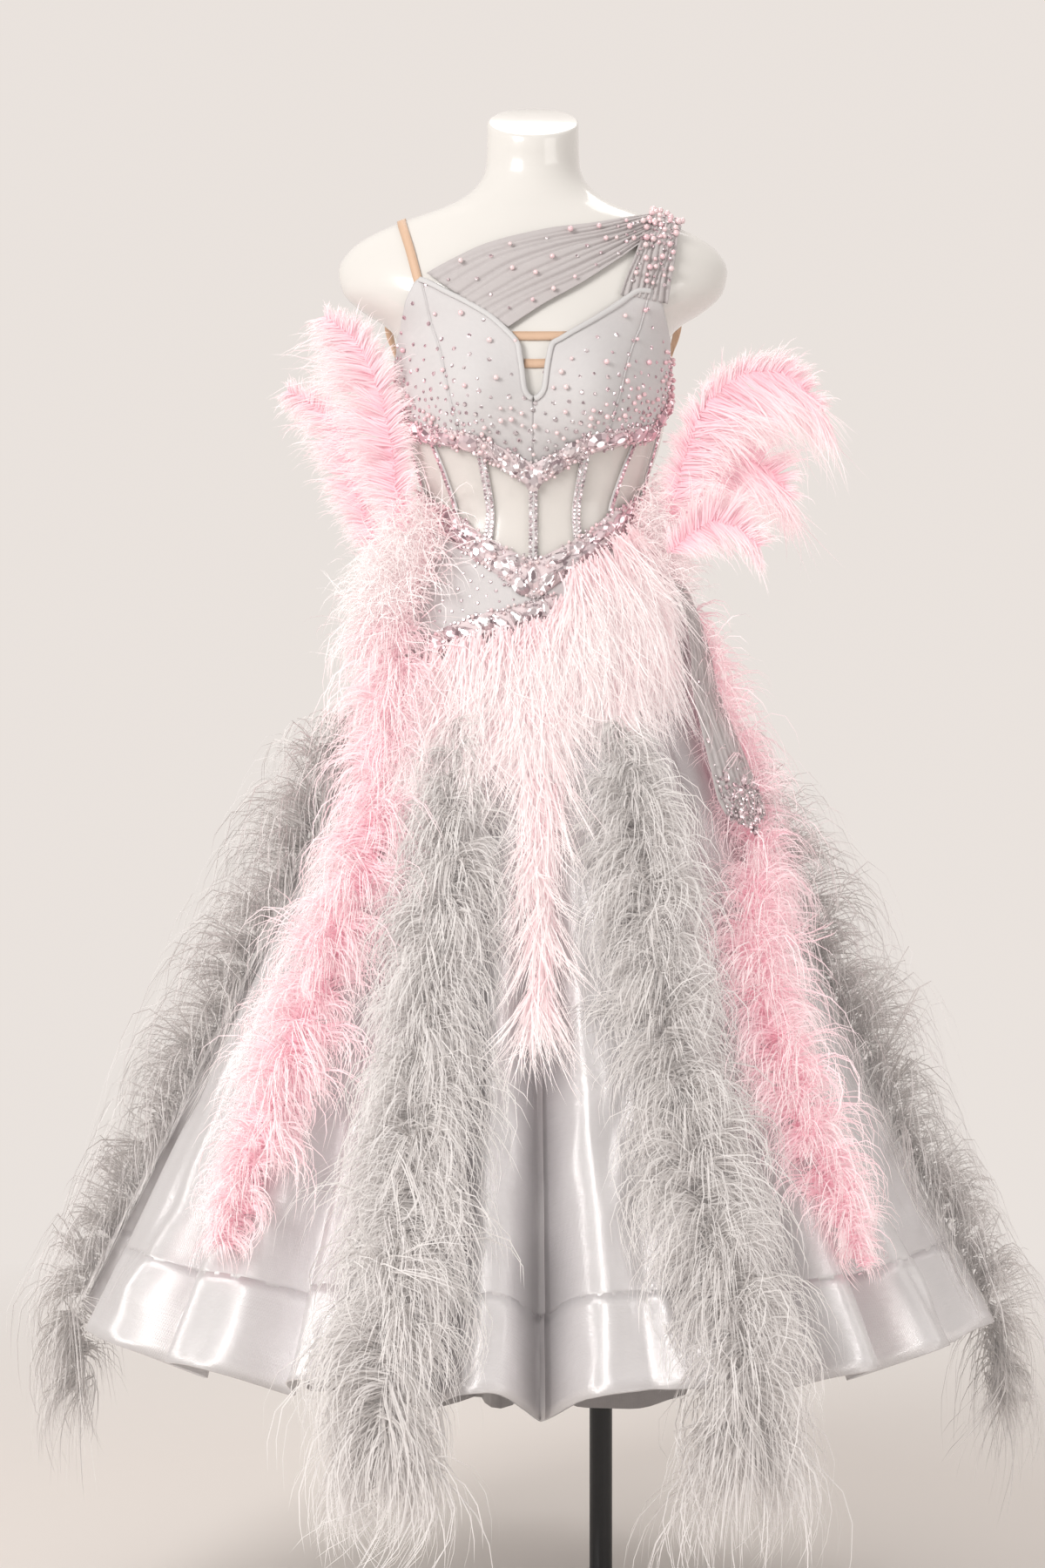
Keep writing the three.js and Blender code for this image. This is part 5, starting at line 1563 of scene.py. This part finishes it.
# Angle, share of the band's height, size, turn in degrees and cut of each large crystal.
BUST_CRYSTALS = [
    (0, 0.35, 0.0150, 0, "oval"), (-5.5, 0.72, 0.0120, 20, "pear"), (6, 0.70, 0.0120, -25, "pear"),
    (-11, 0.30, 0.0115, 60, "oval"), (11.5, 0.32, 0.0120, -55, "oval"), (-17, 0.70, 0.0125, 35, "pear"),
    (17.5, 0.72, 0.0125, -30, "oval"), (-31, 0.45, 0.0150, 70, "oval"), (30, 0.55, 0.0155, -70, "oval"),
    (-41, 0.42, 0.0125, 62, "navette"), (40, 0.46, 0.0130, -64, "navette"),
    (-54, 0.40, 0.0130, 50, "navette"),
    (52, 0.50, 0.0135, -50, "navette"), (-63, 0.62, 0.0120, 35, "oval"),
    (62, 0.30, 0.0125, -60, "navette"),
    (-73, 0.50, 0.0120, 30, "navette"), (70, 0.70, 0.0120, -25, "navette"),
    (-82, 0.55, 0.0115, 15, "oval"),
    (80, 0.50, 0.0120, -20, "oval"),
]
BELT_CRYSTALS = [
    (0, 0.60, 0.0160, 0, "pear"), (-5, 0.20, 0.0150, 30, "oval"), (6, 0.30, 0.0155, -40, "pear"),
    (-9, 0.75, 0.0135, 80, "pear"), (11, 0.75, 0.0130, -70, "navette"), (-14, 0.30, 0.0140, 50, "oval"),
    (16, 0.30, 0.0150, -55, "navette"), (-20, 0.70, 0.0130, 62, "navette"),
    (21, 0.72, 0.0125, -60, "oval"),
    (-26, 0.28, 0.0135, 20, "oval"), (27, 0.35, 0.0135, -48, "oval"), (-33, 0.70, 0.0130, 55, "oval"),
    (33, 0.60, 0.0120, -55, "navette"), (-40, 0.30, 0.0135, 65, "navette"),
    (41, 0.50, 0.0120, -50, "oval"),
    (-48, 0.62, 0.0140, 45, "navette"), (50, 0.50, 0.0120, -45, "navette"),
    (-58, 0.45, 0.0130, 40, "navette"),
    (60, 0.50, 0.0115, -40, "navette"), (-70, 0.50, 0.0120, 30, "navette"),
]
HIP_CRYSTALS = [
    (5, 0.45, 0.0145, 20, "pear"), (0, 0.55, 0.0135, -60, "oval"), (-6, 0.50, 0.0145, 45, "pear"),
    (-12, 0.40, 0.0125, 60, "navette"), (-18, 0.62, 0.0140, 75, "oval"), (-25, 0.40, 0.0145, 60, "pear"),
    (-31, 0.60, 0.0130, 50, "oval"), (-38, 0.45, 0.0140, 65, "oval"),
]


def boning_stones(stones):
    """Two rows of stones up the middle bones, one up the outer ones."""
    for name, (top, foot) in BONING.items():
        roll = dice("boning" + name)
        double = abs(top) < 30
        share = np.linspace(0.02, 0.98, 21)
        at = mix(foot, top, share)
        z = mix(belt_foot(at) + 0.026, underbust(at) - 0.001, share)
        for row in (-1.28, 1.28) if double else (0.0,):
            shifted = at + row
            places = worn(shifted, z, 0.0058)
            normals = worn(shifted, z, 0.008) - places
            size = np.full(len(z), 0.0045 if double else 0.0054)
            stones.add(
                "chaton", places, normals, size,
                np.clip(side_tint(at) + roll.normal(0, 0.08, len(z)), 0, 1),
                roll.uniform(0, FULL_TURN, len(z)),
            )


def yoke_stones(stones):
    """A light scatter on the crepe between the belt and the hip band."""
    roll = dice("yoke")
    at, share = roll.uniform(-62, -4, 1500), roll.random(1500)
    low = read(HIP_LINE, at) + 0.010
    z = mix(low, belt_foot(at), share)
    places = worn(at, z, 0.0056)
    keep = spread(places, np.full(len(at), 0.0105), 120)
    normals = worn(at[keep], z[keep], 0.008) - places[keep]
    stones.add(
        "chaton", places[keep], normals, roll.choice([0.0028, 0.0038], len(keep)),
        np.full(len(keep), 0.35), roll.uniform(0, FULL_TURN, len(keep)),
    )


def knot_stones(stones, knot):
    """Pearls and stones crowded on the shoulder and thinning out along both drapes."""
    roll = dice("knot")
    u, v = roll.random(3000), roll.random(3000) ** 1.2 * 0.8
    places = knot(u, v)
    keep = spread(places, np.full(len(u), 0.0068), 90)
    base = laid(places[keep])
    normals = unit(places[keep] - base)
    pearl = roll.random(len(keep)) < 0.55
    size = mixed_sizes(roll, pearl, [0.0048, 0.0062, 0.0078], [0.0040, 0.0052])
    tint = roll.uniform(0.2, 0.8, len(keep))
    stones.add_mixed(roll, pearl, places[keep], normals, size, tint)
    x = roll.uniform(-0.10, 0.15, 3000)
    z = roll.uniform(1.40, 1.54, 3000)
    top = np.interp(x, [-0.112, -0.041, 0.016, 0.095, 0.15], [1.466, 1.500, 1.514, 1.528, 1.530])
    low = np.interp(
        x, [-0.100, -0.026, 0.010, 0.056, 0.092, 0.128, 0.15],
        [1.458, 1.405, 1.432, 1.460, 1.486, 1.514, 1.520],
    )
    drop = (
        (x > np.interp(z, [1.444, 1.516], [0.094, 0.118]))
        & (x < np.interp(z, [1.44, 1.52], [0.139, 0.152])) & (z > 1.455) & (z < 1.52)
    )
    inside = ((z < top - 0.003) & (z > low + 0.003)) | drop
    x, z, drop = x[inside], z[inside], drop[inside]
    gap = np.where(drop, 0.0066, mix(0.024, 0.0054, np.clip((x - 0.02) / 0.09, 0, 1)))
    places = on_front(x, z, 0.0082)
    keep = spread(places, gap, 260)
    normals = unit(places[keep] - on_front(x[keep], z[keep], 0.0))
    pearl = roll.random(len(keep)) < 0.5
    size = mixed_sizes(roll, pearl, [0.0048, 0.0060, 0.0070], [0.0036, 0.0046])
    tint = roll.uniform(0.1, 0.7, len(keep))
    stones.add_mixed(roll, pearl, places[keep], normals, size, tint)


def float_stones(stones, place):
    """Crystals at the pointed foot of the float, thinning upwards."""
    roll = dice("float")
    u, v = roll.uniform(0.04, 0.96, 3000), roll.random(3000) ** 2.6 * 0.75
    places = place(u, v)
    gap = np.clip(0.0042 + 0.11 * np.clip(v - 0.10, 0, 1), 0.0042, 0.04)
    keep = spread(places, gap, 210)
    beside = place(np.clip(u[keep] + 0.02, 0, 1), v[keep]) - places[keep]
    above = place(u[keep], np.clip(v[keep] + 0.02, 0, 1)) - places[keep]
    normals = unit(np.cross(beside, above))
    radial = places[keep] * np.array([1, 1, 0])
    normals = np.where((normals * radial).sum(-1, keepdims=True) < 0, -normals, normals)
    size = roll.choice([0.0034, 0.0046, 0.0060], len(keep))
    stones.add(
        "chaton", places[keep] + normals * 0.001, normals, size, roll.uniform(0.0, 0.6, len(keep)),
        roll.uniform(0, FULL_TURN, len(keep)),
    )
    large = np.array([(0.30, 0.03), (0.52, 0.00), (0.70, 0.04), (0.45, 0.10), (0.62, 0.13), (0.25, 0.14)])
    spots = place(large[:, 0], large[:, 1])
    radial = unit(spots * np.array([1, 1, 0]))
    stones.add(
        "oval", spots + radial * 0.003, radial, np.full(len(spots), 0.0105), np.full(len(spots), 0.35),
        roll.uniform(0, 3, len(spots)),
    )


def make_bands():
    """The ground of each jewelled band, under its stones."""
    hip = lambda at: read(HIP_LINE, at)
    rows = {
        "bust": (
            -88, 88, lambda at: underbust(at) - 0.004,
            lambda at: underbust(at) + 0.013 + 0.008 * hump(at, 25),
        ),
        "belt": (-88, 88, belt_foot, lambda at: beltline(at) + 0.004),
        "hip": (-44, 8, lambda at: hip(at) - 0.0125, lambda at: hip(at) + 0.0125),
    }
    for name, (start, end, low, high) in rows.items():
        piece = panel(
            f"{name}_ground", start, end, low, high, GROUND_OUT, 100, 4, "ground", "crystal",
            [f"{name}_band"], wall=0.0010,
        )
    return rows


# ------------------------------------------------------------------ building it all

def make_jewels(knot, float_place, bands):
    stones = Stones()
    cup_stones(stones)
    boning_stones(stones)
    for name, big, count in (
        ("bust", BUST_CRYSTALS, 520), ("belt", BELT_CRYSTALS, 620), ("hip", HIP_CRYSTALS, 260),
    ):
        start, end, low, high = bands[name]
        band_stones(stones, name, low, high, start, end, BAND_STONES_OUT, count, big)
    yoke_stones(stones)
    knot_stones(stones, knot)
    float_stones(stones, float_place)
    stones.finish("dress")


def make_stage():
    """A plain pale floor that fades into the backdrop, a soft key from the left and soft fill."""
    form = bmesh.new()
    bmesh.ops.create_circle(form, cap_ends=True, radius=9, segments=96)
    floor = placed("floor", mesh_from(form, "floor"))
    material, tree, shader = new_material("floor", Roughness=0.9, Base_Color=(0.80, 0.755, 0.72, 1))
    place = tree.nodes.new("ShaderNodeTexCoord")
    reach = add_node(tree, "ShaderNodeVectorMath", operation="LENGTH")
    link(tree, place.outputs["Object"], reach.inputs[0])
    fade = add_node(tree, "ShaderNodeMapRange", From_Min=0.9, From_Max=2.6, To_Min=1.0, To_Max=0.0)
    link(tree, reach.outputs["Value"], fade.inputs["Value"])
    link(tree, fade.outputs[0], shader.inputs["Alpha"])
    floor.data.materials.append(material)

    world = bpy.data.worlds.new("studio")
    world.use_nodes = True
    tree = world.node_tree
    way = tree.nodes.new("ShaderNodeTexCoord")
    parts = tree.nodes.new("ShaderNodeSeparateXYZ")
    link(tree, way.outputs["Generated"], parts.inputs[0])
    behind = add_node(
        tree, "ShaderNodeMapRange", interpolation_type="SMOOTHSTEP", From_Min=-0.55, From_Max=0.75,
    )
    link(tree, parts.outputs[1], behind.inputs["Value"])
    shade = colour_mix(tree, behind.outputs[0], (0.49, 0.47, 0.455, 1), (0.82, 0.765, 0.725, 1))
    link(tree, shade, tree.nodes["Background"].inputs["Color"])
    bpy.context.scene.world = world

    lights = {
        "key": ((-2.1, -2.7, 2.5), (0, 0, 0.95), 1.5, 90, (1.0, 0.975, 0.95)),
        "fill": ((2.6, -2.6, 1.4), (0, 0, 0.8), 2.0, 24, (1.0, 0.96, 0.93)),
        "top": ((0.2, 0.9, 3.4), (0, 0, 1.0), 1.4, 16, (1.0, 0.98, 0.96)),
    }
    for name, (spot, aim, size, power, colour) in lights.items():
        light = bpy.data.lights.new(name, "AREA")
        light.size = size
        light.energy = power
        light.color = colour
        lamp = placed(name, light)
        lamp.location = spot
        direction = Vector(aim) - Vector(spot)
        lamp.rotation_euler = direction.to_track_quat("-Z", "Y").to_euler()


def make_camera():
    camera = placed("camera", bpy.data.cameras.new("camera"))
    camera.data.lens = 65.3
    camera.data.sensor_width = 36
    camera.location = (-0.0114, -3.1, 0.925)
    camera.rotation_euler = (np.pi / 2, 0, 0)
    bpy.context.scene.camera = camera


def build():
    make_camera()
    make_stage()
    make_form()
    make_stand()
    make_bodice()
    make_boning()
    make_straps()
    make_drapes()
    knot = make_knot()
    make_skirt()
    make_petticoat()
    float_place = make_float()
    bands = make_bands()
    make_jewels(knot, float_place, bands)
    for name, (colour, path, count) in BOAS.items():
        make_boa(name, colour, path, count)
    make_fringe()
    for name, sizes in TUFTS.items():
        make_tuft(name, *sizes)
    for name, (y, rows) in PLUMES.items():
        make_plume(name, y, rows)


bpy.context.scene.view_settings.view_transform = "Standard"
build()
